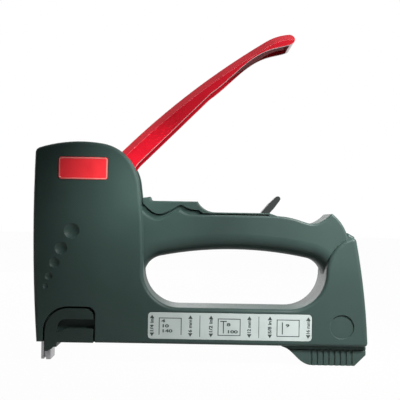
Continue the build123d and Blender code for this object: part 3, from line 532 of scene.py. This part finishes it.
class Finishes:
    """All materials of the tool, built once."""

    def __init__(self) -> None:
        """Build every finish from its colours."""
        self.effects = SurfaceEffects()
        green = {"colour": (0.0245, 0.0445, 0.039), "rubbed": (0.07, 0.11, 0.095)}
        self.shell = self.built(MouldedPlastic("shell plastic", **green, seam=0.00016))
        self.moulded = self.built(MouldedPlastic("moulded fittings", **green))
        # The shell's green, made about a third darker for the latch: painted shade for its place in
        # the recess.
        self.latch = self.built(MouldedPlastic(
            "latch plastic with painted shade", colour=(0.017, 0.030, 0.026), rubbed=(0.05, 0.075, 0.065)))
        self.black = self.built(MouldedPlastic(
            "black fittings", colour=(0.012, 0.015, 0.014), rubbed=(0.06, 0.07, 0.07)))
        self.rubber = self.built(MouldedPlastic(
            "bumper rubber", colour=(0.012, 0.012, 0.012), rubbed=(0.04, 0.04, 0.04),
            roughness=0.7))
        # Each enamel's crease colour below is a painted highlight along its creases and edges.
        self.lever = self.built(Enamel(
            "lever enamel", colour=(0.45, 0.006, 0.016), deep=(0.37, 0.004, 0.011),
            crease_highlight=(0.9, 0.3, 0.34)))
        self.badge = self.built(Enamel(
            "badge red", colour=(0.75, 0.03, 0.04), deep=(0.66, 0.02, 0.03),
            crease_highlight=(0.8, 0.1, 0.1), roughness=0.3))
        # A paler red for the badge's rim: a painted highlight along the plate's edge.
        self.badge_rim_highlight = self.built(Enamel(
            "badge rim highlight", colour=(0.62, 0.2, 0.18), deep=(0.5, 0.12, 0.11),
            crease_highlight=(0.7, 0.3, 0.28), roughness=0.3))
        self.film = self.built(PrintedFilm(
            "label film", colour=(0.40, 0.45, 0.435), stain=(0.34, 0.39, 0.37)))
        self.ink = self.built(PrintedFilm(
            "label ink", colour=(0.022, 0.033, 0.03), stain=(0.05, 0.07, 0.065),
            roughness=0.5))
        self.nose = self.built(Steel(
            "nose steel", colour=(0.32, 0.32, 0.33), dark=(0.1, 0.1, 0.11),
            brushing=Brushing.UPRIGHT, roughness=0.28))
        self.turned = self.built(Steel(
            "turned steel", colour=(0.56, 0.56, 0.57), dark=(0.36, 0.36, 0.36),
            brushing=Brushing.TURNED))
        self.zinc = self.built(Steel(
            "zinc plate", colour=(0.60, 0.61, 0.63), dark=(0.40, 0.41, 0.42),
            brushing=Brushing.LENGTHWISE, roughness=0.34))
        self.wire = self.built(Steel(
            "spring wire", colour=(0.34, 0.34, 0.36), dark=(0.2, 0.2, 0.21),
            brushing=Brushing.TURNED))

    def built(self, finish: Finish) -> bpy.types.Material:
        """Build one finish with the shared effects."""
        return finish.material(self.effects)


def vertices(geometry: list[object]) -> list[bmesh.types.BMVert]:
    """Vertices among the geometry that an operator gives."""
    return [item for item in geometry if isinstance(item, bmesh.types.BMVert)]


def open_edges(mesh: bmesh.types.BMesh) -> list[bmesh.types.BMEdge]:
    """Edges along the open ends of a mesh."""
    return [edge for edge in mesh.edges if edge.is_boundary]


def face_outwards(mesh: bmesh.types.BMesh) -> None:
    """Point all faces of a mesh outwards."""
    bmesh.ops.recalc_face_normals(mesh, faces=mesh.faces[:])


@dataclass
class Assembly:
    """A group of pieces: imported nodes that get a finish, and new pieces that ride on a body."""

    finishes: Finishes

    def dress(self, material: bpy.types.Material, *nodes: str) -> None:
        """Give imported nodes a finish.

        Args:
            material: the finish.
            nodes: names of the nodes.
        """
        for node in nodes:
            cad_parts[node].material_slots[0].material = material
            log.info("dressed %s with %s", node, material.name)

    def piece(self, name: str, mesh: bmesh.types.BMesh, material: bpy.types.Material, body: Body,
              slot: Slot, smooth: float) -> bpy.types.Object:
        """Turn a finished mesh into a piece of the tool.

        Args:
            name: the piece's name.
            mesh: its mesh, already in place.
            material: its finish.
            body: the body that it rides on.
            slot: the record's material slot; not used.
            smooth: angle in degrees under which neighbouring faces shade smoothly.

        Returns:
            The new object.
        """
        data = bpy.data.meshes.new(name)
        limit = math.radians(smooth)
        for face in mesh.faces:
            face.smooth = True
        for edge in mesh.edges:
            edge.smooth = len(edge.link_faces) == 2 and edge.calc_face_angle(0.0) < limit
        mesh.to_mesh(data)
        mesh.free()
        data.materials.append(material)
        made = bpy.data.objects.new(name, data)
        bpy.context.scene.collection.objects.link(made)
        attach(made, body.value)
        log.info("built %s with %d faces", name, len(data.polygons))
        return made


class BodyShells(Assembly):
    """The two moulded shells and the fixed fittings inside them."""

    def build(self) -> None:
        """Dress the shells and their fittings."""
        self.dress(self.finishes.shell, "left_housing", "right_housing")
        self.dress(self.finishes.black, "spring_cap")
        self.dress(self.finishes.rubber, "bumper")
        self.dress(self.finishes.turned, "lever_pivot_pin", "nose_latch_pins", "lock_pin")


class NoseAndMagazine(Assembly):
    """The steel nose and its latch, the hammer and driver, the staple channel and the magazine."""

    def build(self) -> None:
        """Dress the working parts."""
        self.dress(self.finishes.nose, "nose_front_plate", "nose_rear_guide", "driver_blade")
        self.dress(self.finishes.turned, "hammer", "lift_pins", "driver_rivets",
                   "magazine_rivet", "pusher_rod")
        self.dress(self.finishes.zinc, "staple_channel", "magazine_rail", "pusher")
        self.dress(self.finishes.moulded, "magazine_foot")
        self.dress(self.finishes.latch, "nose_latch")


class SqueezeLever(Assembly):
    """The pressed lever, its bush and the lock on the grip."""

    def build(self) -> None:
        """Dress the lever and its lock."""
        self.dress(self.finishes.lever, "lever")
        self.dress(self.finishes.turned, "spacer_bush")
        self.dress(self.finishes.black, "lever_lock")


class Mark(Enum):
    """Kind of fastener that a field of the size chart shows."""

    STAPLE = "staple"
    TEE_NAIL = "tee nail"
    BRAD = "brad"


@dataclass
class ChartField:
    """One field of the size chart: a fastener, its sizes and the leg lengths beside it.

    The column and the rows of the sizes are shares of the field's box.
    """

    mark: Mark
    sizes: tuple[str, ...]
    left: str
    right: str
    column: float = 0.39
    first_row: float = 0.36
    row_step: float = 0.41


@dataclass
class SizeChart(Assembly):
    """The printed chart on the label: fastener signs between upright length arrows.

    The nail's place, length and head are shares of a field's box, its weight and lift count
    line widths, and the arrow's three shares are those of a triangle in a unit circle.
    """

    node: str = "size_label"
    pitch: float = 31.6 * MM
    left_arrow: float = 2.15 * MM
    box_left: float = 6.0 * MM
    box_width: float = 11.8 * MM
    box_low: float = 2.2 * MM
    box_height: float = 9.2 * MM
    right_arrow: float = 22.7 * MM
    divider: float = 27.8 * MM
    divider_low: float = 1.4 * MM
    divider_weight: float = 0.8
    line: float = 0.42 * MM
    nail_place: float = 0.24
    nail_length: float = 0.7
    nail_head: float = 0.3
    nail_lift: float = 3.0
    nail_weight: float = 1.3
    arrow_width: float = 2.5 * MM
    arrow_height: float = 2.0 * MM
    arrow_margin: float = 1.3 * MM
    arrow_tip: float = 0.67
    triangle_width: float = 3 ** 0.5
    triangle_height: float = 1.5
    figure: float = 2.2 * MM
    figure_stretch: float = 1.8
    length_figure: float = 2.5 * MM
    length_span: float = 6.8 * MM
    weight: float = 0.09 * MM
    film: float = 0.03 * MM
    smooth: float = 35.0
    fields: tuple[ChartField, ...] = field(default_factory=lambda: (
        ChartField(Mark.STAPLE, ("4", "10", "140"), "1/4 in", "6 mm", 0.1, 0.2, 0.29),
        ChartField(Mark.TEE_NAIL, ("8", "100"), "1/2 in", "12 mm"),
        ChartField(Mark.BRAD, ("9",), "5/8 in", "16 mm"),
    ))
    low: Vector = field(init=False)
    high: Vector = field(init=False)
    mesh: bmesh.types.BMesh = field(init=False)

    def build(self) -> None:
        """Print the chart on the label."""
        self.low, self.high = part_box(self.node)
        self.mesh = bmesh.new()
        for index, chart_field in enumerate(self.fields):
            self.draw_field(chart_field, index * self.pitch)
        bmesh.ops.solidify(self.mesh, geom=self.mesh.faces[:], thickness=self.film)
        face_outwards(self.mesh)
        place = Matrix.Translation((self.low.x, self.low.y - self.film / 2, self.low.z))
        place = place @ Matrix.Rotation(QUARTER_TURN, 4, "X")
        bmesh.ops.transform(self.mesh, matrix=place, verts=self.mesh.verts[:])
        self.dress(self.finishes.film, self.node)
        self.piece("size_chart", self.mesh, self.finishes.ink, Body.SHELL, Slot.LABEL, self.smooth)

    def draw_field(self, chart_field: ChartField, start: float) -> None:
        """Draw one field.

        Args:
            chart_field: what the field shows.
            start: its left edge along the label.
        """
        height = self.high.z - self.low.z
        self.arrows(start + self.left_arrow, height, chart_field.left)
        self.arrows(start + self.right_arrow, height, chart_field.right)
        left = start + self.box_left
        right = left + self.box_width
        top = self.box_low + self.box_height
        middle, width = (left + right) / 2, self.box_width + self.line
        self.strip(left, self.box_low, self.line, self.box_height)
        self.strip(right, self.box_low, self.line, self.box_height)
        self.strip(middle, top - self.line / 2, width, self.line, level=True)
        if chart_field.mark is not Mark.STAPLE:
            self.strip(middle, self.box_low + self.line / 2, width, self.line, level=True)
            self.draw_nail(chart_field.mark, left)
        column = left + self.box_width * chart_field.column
        stretch = Matrix.Diagonal((self.figure_stretch, 1, 1, 1))
        for row, size in enumerate(chart_field.sizes):
            level = top - self.box_height * (chart_field.first_row + chart_field.row_step * row)
            place = Matrix.Translation((column, level, 0)) @ stretch
            self.words(size, self.figure, place, "LEFT")
        if start + self.divider < self.high.x - self.low.x - self.box_width:
            self.strip(start + self.divider, self.divider_low, self.line * self.divider_weight,
                       height - 2 * self.divider_low)

    def draw_nail(self, mark: Mark, left: float) -> None:
        """Draw the upright nail of a field, with a head on a tee nail.

        Args:
            mark: kind of fastener.
            left: left edge of the field's box.
        """
        stem = left + self.box_width * self.nail_place
        foot = self.box_low + self.line * self.nail_lift
        length = self.box_height * self.nail_length
        weight = self.line * self.nail_weight
        self.strip(stem, foot, weight, length)
        if mark is Mark.TEE_NAIL:
            self.strip(stem, foot + length, self.box_width * self.nail_head, weight, level=True)

    def strip(self, centre: float, low: float, width: float, height: float,
              level: bool = False) -> None:
        """Draw a filled bar.

        Args:
            centre: the bar's middle along the label.
            low: the height that it stands on.
            width: its size along the label.
            height: its size up the label.
            level: whether it is centred on the height instead.
        """
        middle = low if level else low + height / 2
        matrix = Matrix.Translation((centre, middle, 0)) @ Matrix.Diagonal((width, height, 1, 1))
        bmesh.ops.create_grid(self.mesh, x_segments=1, y_segments=1, size=UNIT_SQUARE,
                              matrix=matrix)

    def arrows(self, centre: float, height: float, length: str) -> None:
        """Draw an arrow up and an arrow down with a length written between them.

        Args:
            centre: place of the arrows along the label.
            height: the label's height.
            length: the words between the arrows.
        """
        middle = Matrix.Translation((centre, height / 2, 0))
        reach = height / 2 - self.arrow_margin - self.arrow_height * self.arrow_tip
        spread = Matrix.Diagonal((self.arrow_width / self.triangle_width,
                                  self.arrow_height / self.triangle_height, 1, 1))
        for turn in (0.0, math.pi):
            matrix = middle @ Matrix.Rotation(turn, 4, "Z")
            matrix = matrix @ Matrix.Translation((0, reach, 0)) @ spread
            bmesh.ops.create_circle(self.mesh, cap_ends=True, segments=3, radius=1.0,
                                    matrix=matrix)
        upright = middle @ Matrix.Rotation(QUARTER_TURN, 4, "Z")
        self.words(length, self.length_figure, upright, "CENTER", self.length_span)

    def words(self, text: str, size: float, matrix: Matrix, align: str, span: float = 0.0) -> None:
        """Write plain figures at a place.

        Args:
            text: the figures.
            size: their nominal height.
            matrix: place and turn on the label.
            align: which side of the figures is at the place.
            span: length that the figures are stretched to, or 0 to leave them.
        """
        curve = bpy.data.curves.new("figures", "FONT")
        curve.body = text
        curve.offset = self.weight / size
        curve.align_x = align
        curve.align_y = "CENTER"
        holder = bpy.data.objects.new("figures", curve)
        flat = bpy.data.meshes.new_from_object(holder)
        flat.transform(Matrix.Scale(size, 4))
        if span:
            reach = [vertex.co.x for vertex in flat.vertices]
            flat.transform(Matrix.Diagonal((span / (max(reach) - min(reach)), 1, 1, 1)))
        flat.transform(matrix)
        self.mesh.from_mesh(flat)
        bpy.data.objects.remove(holder)
        bpy.data.curves.remove(curve)
        bpy.data.meshes.remove(flat)


@dataclass
class CoilSpring(Assembly):
    """A wound compression spring on a straight axis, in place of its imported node."""

    node: str
    axis: Vector
    wire: float
    turns: int
    body: Body
    joint: str
    steps: int = 28
    sides: int = 14
    smooth: float = 50.0

    def build(self) -> None:
        """Wind the spring in its node's box."""
        low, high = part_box(self.node)
        centre = (low + high) / 2
        length = (high - low).dot(self.axis)
        side = Vector((self.axis.z, self.axis.x, self.axis.y))
        radius = (high - low).dot(side) / 2 - self.wire / 2
        start = centre - self.axis * (length - self.wire) / 2
        steps = self.turns * self.steps
        climb = (length - self.wire) / steps
        mesh = bmesh.new()
        turn = Matrix((side, self.axis, self.axis.cross(side))).transposed().to_4x4()
        matrix = Matrix.Translation(start + side * radius) @ turn
        ring = bmesh.ops.create_circle(mesh, segments=self.sides, radius=self.wire / 2,
                                       matrix=matrix)["verts"]
        loop = ring + list({edge for vert in ring for edge in vert.link_edges})
        bmesh.ops.spin(mesh, geom=loop, cent=start, axis=self.axis, dvec=self.axis * climb,
                       angle=2 * math.pi * self.turns, steps=steps, use_merge=False)
        bmesh.ops.holes_fill(mesh, edges=open_edges(mesh))
        face_outwards(mesh)
        made = self.piece(f"{self.node}_wound", mesh, self.finishes.wire, self.body, Slot.SPRING,
                          self.smooth)
        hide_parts(self.node)
        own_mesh(made)


@dataclass
class TorsionSpring(Assembly):
    """The lever's return spring: turns round the bush and two legs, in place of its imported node."""

    node: str = "lever_return_spring"
    pivot: Vector = field(default_factory=lambda: Vector((-57.0, 0.0, 91.0)) * MM)
    axis: Vector = field(default_factory=lambda: Vector((0.0, -1.0, 0.0)))
    radius: float = 5.3 * MM
    wire: float = 1.4 * MM
    pitch: float = 2.2 * MM
    turns: float = 2.786
    start_angle: float = math.radians(62.2)
    rest_leg: float = 22.3 * MM
    lift_leg: float = 18.2 * MM
    steps: int = 90
    sides: int = 16
    smooth: float = 50.0

    def build(self) -> None:
        """Wind the turns and draw out both legs."""
        spoke = Vector((math.cos(self.start_angle), 0, math.sin(self.start_angle)))
        rise = self.axis * self.pitch / (2 * math.pi * self.radius)
        heading = (self.axis.cross(spoke) + rise).normalized()
        start = self.pivot - self.axis * self.pitch * self.turns / 2
        turn = heading.to_track_quat("Z", "Y").to_matrix().to_4x4()
        matrix = Matrix.Translation(start + spoke * self.radius) @ turn
        mesh = bmesh.new()
        ring = bmesh.ops.create_circle(mesh, segments=self.sides, radius=self.wire / 2,
                                       matrix=matrix)["verts"]
        first = list({edge for vert in ring for edge in vert.link_edges})
        sweep = 2 * math.pi * self.turns
        climb = self.axis * self.pitch * self.turns / self.steps
        bmesh.ops.spin(mesh, geom=ring + first, cent=start, axis=self.axis, dvec=climb,
                       angle=sweep, steps=self.steps, use_merge=False)
        last = [edge for edge in open_edges(mesh) if edge not in set(first)]
        self.draw_leg(mesh, first, -heading * self.rest_leg)
        away = Matrix.Rotation(sweep, 3, self.axis) @ heading
        self.draw_leg(mesh, last, away * self.lift_leg)
        bmesh.ops.holes_fill(mesh, edges=open_edges(mesh))
        face_outwards(mesh)
        made = self.piece(f"{self.node}_wound", mesh, self.finishes.wire, Body.SHELL, Slot.SPRING,
                          self.smooth)
        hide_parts(self.node)

    @staticmethod
    def draw_leg(mesh: bmesh.types.BMesh, edges: list[bmesh.types.BMEdge], reach: Vector) -> None:
        """Draw one end of the wire out straight."""
        drawn = bmesh.ops.extrude_edge_only(mesh, edges=edges)["geom"]
        bmesh.ops.translate(mesh, verts=vertices(drawn), vec=reach)


@dataclass
class BodyScrews(Assembly):
    """The six screws of the shells, with cross recesses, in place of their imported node.

    The places are along X and Z, in millimetres.
    """

    node: str = "housing_screws"
    places: tuple[Span, ...] = (
        (-61.8, 108.1), (-61.8, 44.8), (-42.2, 61.7), (8.55, 71.0), (63.3, 70.0), (76.7, 42.8))
    seat: float = 7.0 * MM
    head_radius: float = 3.0 * MM
    head_flat: float = 2.4 * MM
    head_thick: float = 2.4 * MM
    head_round: float = 0.7 * MM
    rim_cuts: int = 2
    shank_radius: float = 1.5 * MM
    shank: float = 16.5 * MM
    shank_sides: int = 24
    arm_half: float = 0.36 * MM
    arm_reach: float = 1.5 * MM
    grid_midway: float = 0.5
    recess: float = 1.2 * MM
    recess_taper: float = 0.75
    smooth: float = 40.0

    def build(self) -> None:
        """Make one screw and set it in every boss, each turned to its own angle."""
        mesh = bmesh.new()
        self.head(mesh)
        flip = Matrix.Rotation(math.pi, 4, "X")
        below = Matrix.Translation((0, 0, -self.head_thick - self.shank / 2)) @ flip
        bmesh.ops.create_cone(mesh, cap_ends=True, segments=self.shank_sides, depth=self.shank,
                              radius1=self.shank_radius, radius2=self.shank_radius, matrix=below)
        one = mesh.verts[:] + mesh.edges[:] + mesh.faces[:]
        stand = Matrix.Rotation(-QUARTER_TURN, 4, "X")
        for along, up in self.places:
            copy = bmesh.ops.duplicate(mesh, geom=one)["geom"]
            place = Matrix.Translation((along * MM, self.seat + self.head_thick, up * MM))
            angle = Matrix.Rotation(math.radians(along * up), 4, "Z")
            bmesh.ops.transform(mesh, matrix=place @ stand @ angle, verts=vertices(copy))
        bmesh.ops.delete(mesh, geom=vertices(one), context="VERTS")
        face_outwards(mesh)
        made = self.piece("cross_screws", mesh, self.finishes.zinc, Body.SHELL, Slot.ZINC,
                          self.smooth)
        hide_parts(self.node)

    def head(self, mesh: bmesh.types.BMesh) -> None:
        """Shape a head from a cross in a grid, drawn out to a rounded rim.

        Args:
            mesh: the empty mesh that takes the head.
        """
        bmesh.ops.create_grid(mesh, x_segments=3, y_segments=3, size=1.0)
        for vert in mesh.verts:
            vert.co = Vector((self.arm_corner(vert.co.x), self.arm_corner(vert.co.y), 0.0))
        cross = [face for face in mesh.faces
                 if min(abs(part) for part in face.calc_center_median().xy) < self.arm_half]
        bmesh.ops.subdivide_edges(mesh, edges=open_edges(mesh), cuts=self.rim_cuts)
        for radius, drop in ((self.head_flat, 0.0), (self.head_radius, self.head_round),
                             (self.head_radius, self.head_thick)):
            drawn = bmesh.ops.extrude_edge_only(mesh, edges=open_edges(mesh))["geom"]
            for vert in vertices(drawn):
                vert.co = (vert.co.xy.normalized() * radius).to_3d() - Vector((0, 0, drop))
        bmesh.ops.holes_fill(mesh, edges=open_edges(mesh))
        floor = vertices(bmesh.ops.extrude_face_region(mesh, geom=cross)["geom"])
        bmesh.ops.scale(mesh, verts=floor, vec=(self.recess_taper, self.recess_taper, 1))
        bmesh.ops.translate(mesh, verts=floor, vec=(0, 0, -self.recess))

    def arm_corner(self, part: float) -> float:
        """Move an inner line of the grid to the side of an arm, and an outer one to its end."""
        inner = abs(part) < self.grid_midway
        return math.copysign(self.arm_half if inner else self.arm_reach, part)


@dataclass
class BadgePlate(Assembly):
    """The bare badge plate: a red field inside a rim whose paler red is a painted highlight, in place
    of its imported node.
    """

    node: str = "badge"
    corner: float = 1.6 * MM
    corner_steps: int = 6
    edge: float = 0.25 * MM
    edge_steps: int = 3
    rim: float = 0.5 * MM
    slope: float = 0.2 * MM
    sink: float = 0.12 * MM
    smooth: float = 20.0

    def build(self) -> None:
        """Shape the plate and give its rim the painted highlight."""
        low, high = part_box(self.node)
        size = high - low
        mesh = bmesh.new()
        bmesh.ops.create_grid(mesh, x_segments=1, y_segments=1, size=UNIT_SQUARE,
                              matrix=Matrix.Diagonal((size.x, size.z, 1, 1)))
        bmesh.ops.bevel(mesh, geom=mesh.verts[:], affect="VERTICES", offset=self.corner,
                        segments=self.corner_steps, profile=0.5, material=-1)
        front = mesh.faces[:][0]
        back = bmesh.ops.extrude_face_region(mesh, geom=[front], use_keep_orig=True)["geom"]
        bmesh.ops.translate(mesh, verts=vertices(back), vec=(0, 0, -size.y))
        bmesh.ops.bevel(mesh, geom=front.edges[:], affect="EDGES", offset=self.edge,
                        segments=self.edge_steps, profile=0.5, material=-1)
        face_outwards(mesh)
        red = max(mesh.faces, key=lambda face: face.calc_center_median().z + face.calc_area())
        rim = bmesh.ops.inset_region(mesh, faces=[red], thickness=self.rim, use_even_offset=True)
        # The rim's faces take the second material, a paler red that is a painted highlight along the
        # plate's edge.
        for face in rim["faces"]:
            face.material_index = 1
        bmesh.ops.inset_region(mesh, faces=[red], thickness=self.slope, depth=-self.sink,
                               use_even_offset=True)
        place = Matrix.Translation((low.x + size.x / 2, low.y, low.z + size.z / 2))
        place = place @ Matrix.Rotation(QUARTER_TURN, 4, "X")
        bmesh.ops.transform(mesh, matrix=place, verts=mesh.verts[:])
        face_outwards(mesh)
        made = self.piece("badge_plate", mesh, self.finishes.badge, Body.SHELL, Slot.BADGE,
                          self.smooth)
        made.data.materials.append(self.finishes.badge_rim_highlight)
        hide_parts(self.node)


@dataclass
class ProductCamera:
    """Camera at the photograph's place: level, square to the side and slightly rolled."""

    place: Vector = field(default_factory=lambda: Vector((-8.9, -439.0, 74.6)) * MM)
    roll: float = math.radians(1.0)
    focal_pixels: float = 791.0
    centre_pixel: Span = (185.0, 225.0)
    frame_pixels: float = 400.0
    sensor: float = 36.0
    clip_start: float = 10.0 * MM

    def build(self) -> None:
        """Make the scene's camera."""
        data = bpy.data.cameras.new("product camera")
        data.sensor_width = self.sensor
        data.lens = self.sensor * self.focal_pixels / self.frame_pixels
        data.shift_x = 0.5 - self.centre_pixel[0] / self.frame_pixels
        data.shift_y = self.centre_pixel[1] / self.frame_pixels - 0.5
        data.clip_start = self.clip_start
        camera = bpy.data.objects.new("product camera", data)
        right = Vector((math.cos(self.roll), 0, math.sin(self.roll)))
        up = Vector((-math.sin(self.roll), 0, math.cos(self.roll)))
        turn = Matrix((right, up, right.cross(up))).transposed().to_4x4()
        camera.matrix_world = Matrix.Translation(self.place) @ turn
        bpy.context.scene.collection.objects.link(camera)
        bpy.context.scene.camera = camera


@dataclass(frozen=True)
class SoftBox:
    """One square studio lamp, with its beam's spread in degrees."""

    name: str
    place: Point
    aim: Point
    size: float
    power: float
    spread: float = 180.0
    mirrored: bool = True

    def build(self) -> None:
        """Hang the lamp and aim it."""
        data = bpy.data.lights.new(self.name, "AREA")
        data.size = self.size
        data.energy = self.power
        data.spread = math.radians(self.spread)
        lamp = bpy.data.objects.new(self.name, data)
        lamp.location = self.place
        beam = Vector(self.aim) - Vector(self.place)
        lamp.rotation_euler = beam.to_track_quat("-Z", "Y").to_euler()
        lamp.visible_glossy = self.mirrored
        bpy.context.scene.collection.objects.link(lamp)


@dataclass
class Studio:
    """White backdrop and pale floor behind the tool, a dim room in front of it, and soft boxes."""

    room: float = 0.06
    backdrop: Span = (-0.35, 0.25)
    floor_size: float = 6.0
    floor_gap: float = 0.2 * MM
    floor_front: float = -0.14
    floor_colour: Colour = (0.4, 0.4, 0.4)
    floor_white: float = 0.98
    lamps: tuple[SoftBox, ...] = (
        SoftBox("key", place=(0.20, -0.20, 0.27), aim=(0.085, 0.0, 0.08),
                size=0.06, power=0.39, spread=58.0),
        SoftBox("nose", place=(0.0, -0.11, 0.14), aim=(-0.038, 0.0, 0.085),
                size=0.012, power=0.016, spread=46.0, mirrored=False),
        SoftBox("lever", place=(-0.12, -0.12, 0.42), aim=(-0.02, 0.0, 0.13),
                size=0.012, power=0.014, spread=32.0, mirrored=False),
        SoftBox("back", place=(-0.30, 0.62, 0.30), aim=(0.0, 0.0, 0.08), size=0.80, power=4.6),
    )

    def build(self) -> None:
        """Set up the world, the floor and the lamps."""
        scene = bpy.context.scene
        scene.view_settings.view_transform = "Standard"
        scene.world = bpy.data.worlds.new("white room")
        scene.world.use_nodes = True
        self.light_world(Graph(scene.world.node_tree))
        self.lay_floor()
        for lamp in self.lamps:
            lamp.build()

    @staticmethod
    def seen(graph: Graph, mirrored: object = 1.0) -> bpy.types.NodeSocket:
        """Mask of what the camera sees, directly or in reflections and through glass.

        Args:
            graph: the tree that takes the mask.
            mirrored: share of what is seen in reflections and through glass.

        Returns:
            The mask's socket.
        """
        path = graph.add("LightPath").outputs
        bounced = graph.math("MAXIMUM", path["Is Glossy Ray"], path["Is Transmission Ray"])
        return graph.math("MAXIMUM", path["Is Camera Ray"], graph.times(bounced, mirrored))

    def light_world(self, graph: Graph) -> None:
        """Make the backdrop white to the camera and in reflections, and the room in front dim.

        Args:
            graph: the world's tree.
        """
        direction = graph.add("TexCoord").outputs["Generated"]
        heading = graph.add("SeparateXYZ", {0: direction}).outputs["Y"]
        behind = graph.ramp(heading, self.backdrop, FULL)
        strength = graph.math("MAXIMUM", self.seen(graph, behind), self.room)
        background = graph.add("Background", {"Color": opaque(WHITE), "Strength": strength})
        graph.add("OutputWorld", {"Surface": background.outputs[0]})

    def lay_floor(self) -> None:
        """Lay a pale floor that keeps the tool's shadow."""
        made, graph = new_material("pale floor")
        matt = graph.add("BsdfDiffuse", {"Color": opaque(self.floor_colour)})
        white = graph.add("Emission", {"Color": opaque(WHITE), "Strength": 1.0})
        share = graph.times(self.seen(graph), self.floor_white)
        mixed = graph.add("MixShader", {0: share, 1: matt.outputs[0], 2: white.outputs[0]})
        graph.add("OutputMaterial", {"Surface": mixed.outputs[0]})
        mesh = bmesh.new()
        half = self.floor_size / 2
        matrix = Matrix.Translation((0, self.floor_front + half, -self.floor_gap))
        bmesh.ops.create_grid(mesh, x_segments=1, y_segments=1, size=half, matrix=matrix)
        data = bpy.data.meshes.new("floor")
        mesh.to_mesh(data)
        mesh.free()
        data.materials.append(made)
        floor = bpy.data.objects.new("floor", data)
        bpy.context.scene.collection.objects.link(floor)


def main() -> None:
    """Build the studio and dress the tool, sub-assembly by sub-assembly."""
    logging.basicConfig(level=logging.INFO, format="%(name)s: %(message)s")
    ProductCamera().build()
    Studio().build()
    finishes = Finishes()
    BodyShells(finishes).build()
    NoseAndMagazine(finishes).build()
    SqueezeLever(finishes).build()
    SizeChart(finishes).build()
    BadgePlate(finishes).build()
    BodyScrews(finishes).build()
    TorsionSpring(finishes).build()
    CoilSpring(finishes, "drive_spring", axis=Vector((0, 0, 1)), wire=1.8 * MM, turns=6,
               body=Body.SHELL, joint="hammer_slide").build()
    CoilSpring(finishes, "pusher_spring", axis=Vector((1, 0, 0)), wire=0.8 * MM, turns=16,
               body=Body.MAGAZINE, joint="pusher_slide").build()


if __name__ == "__main__":
    main()
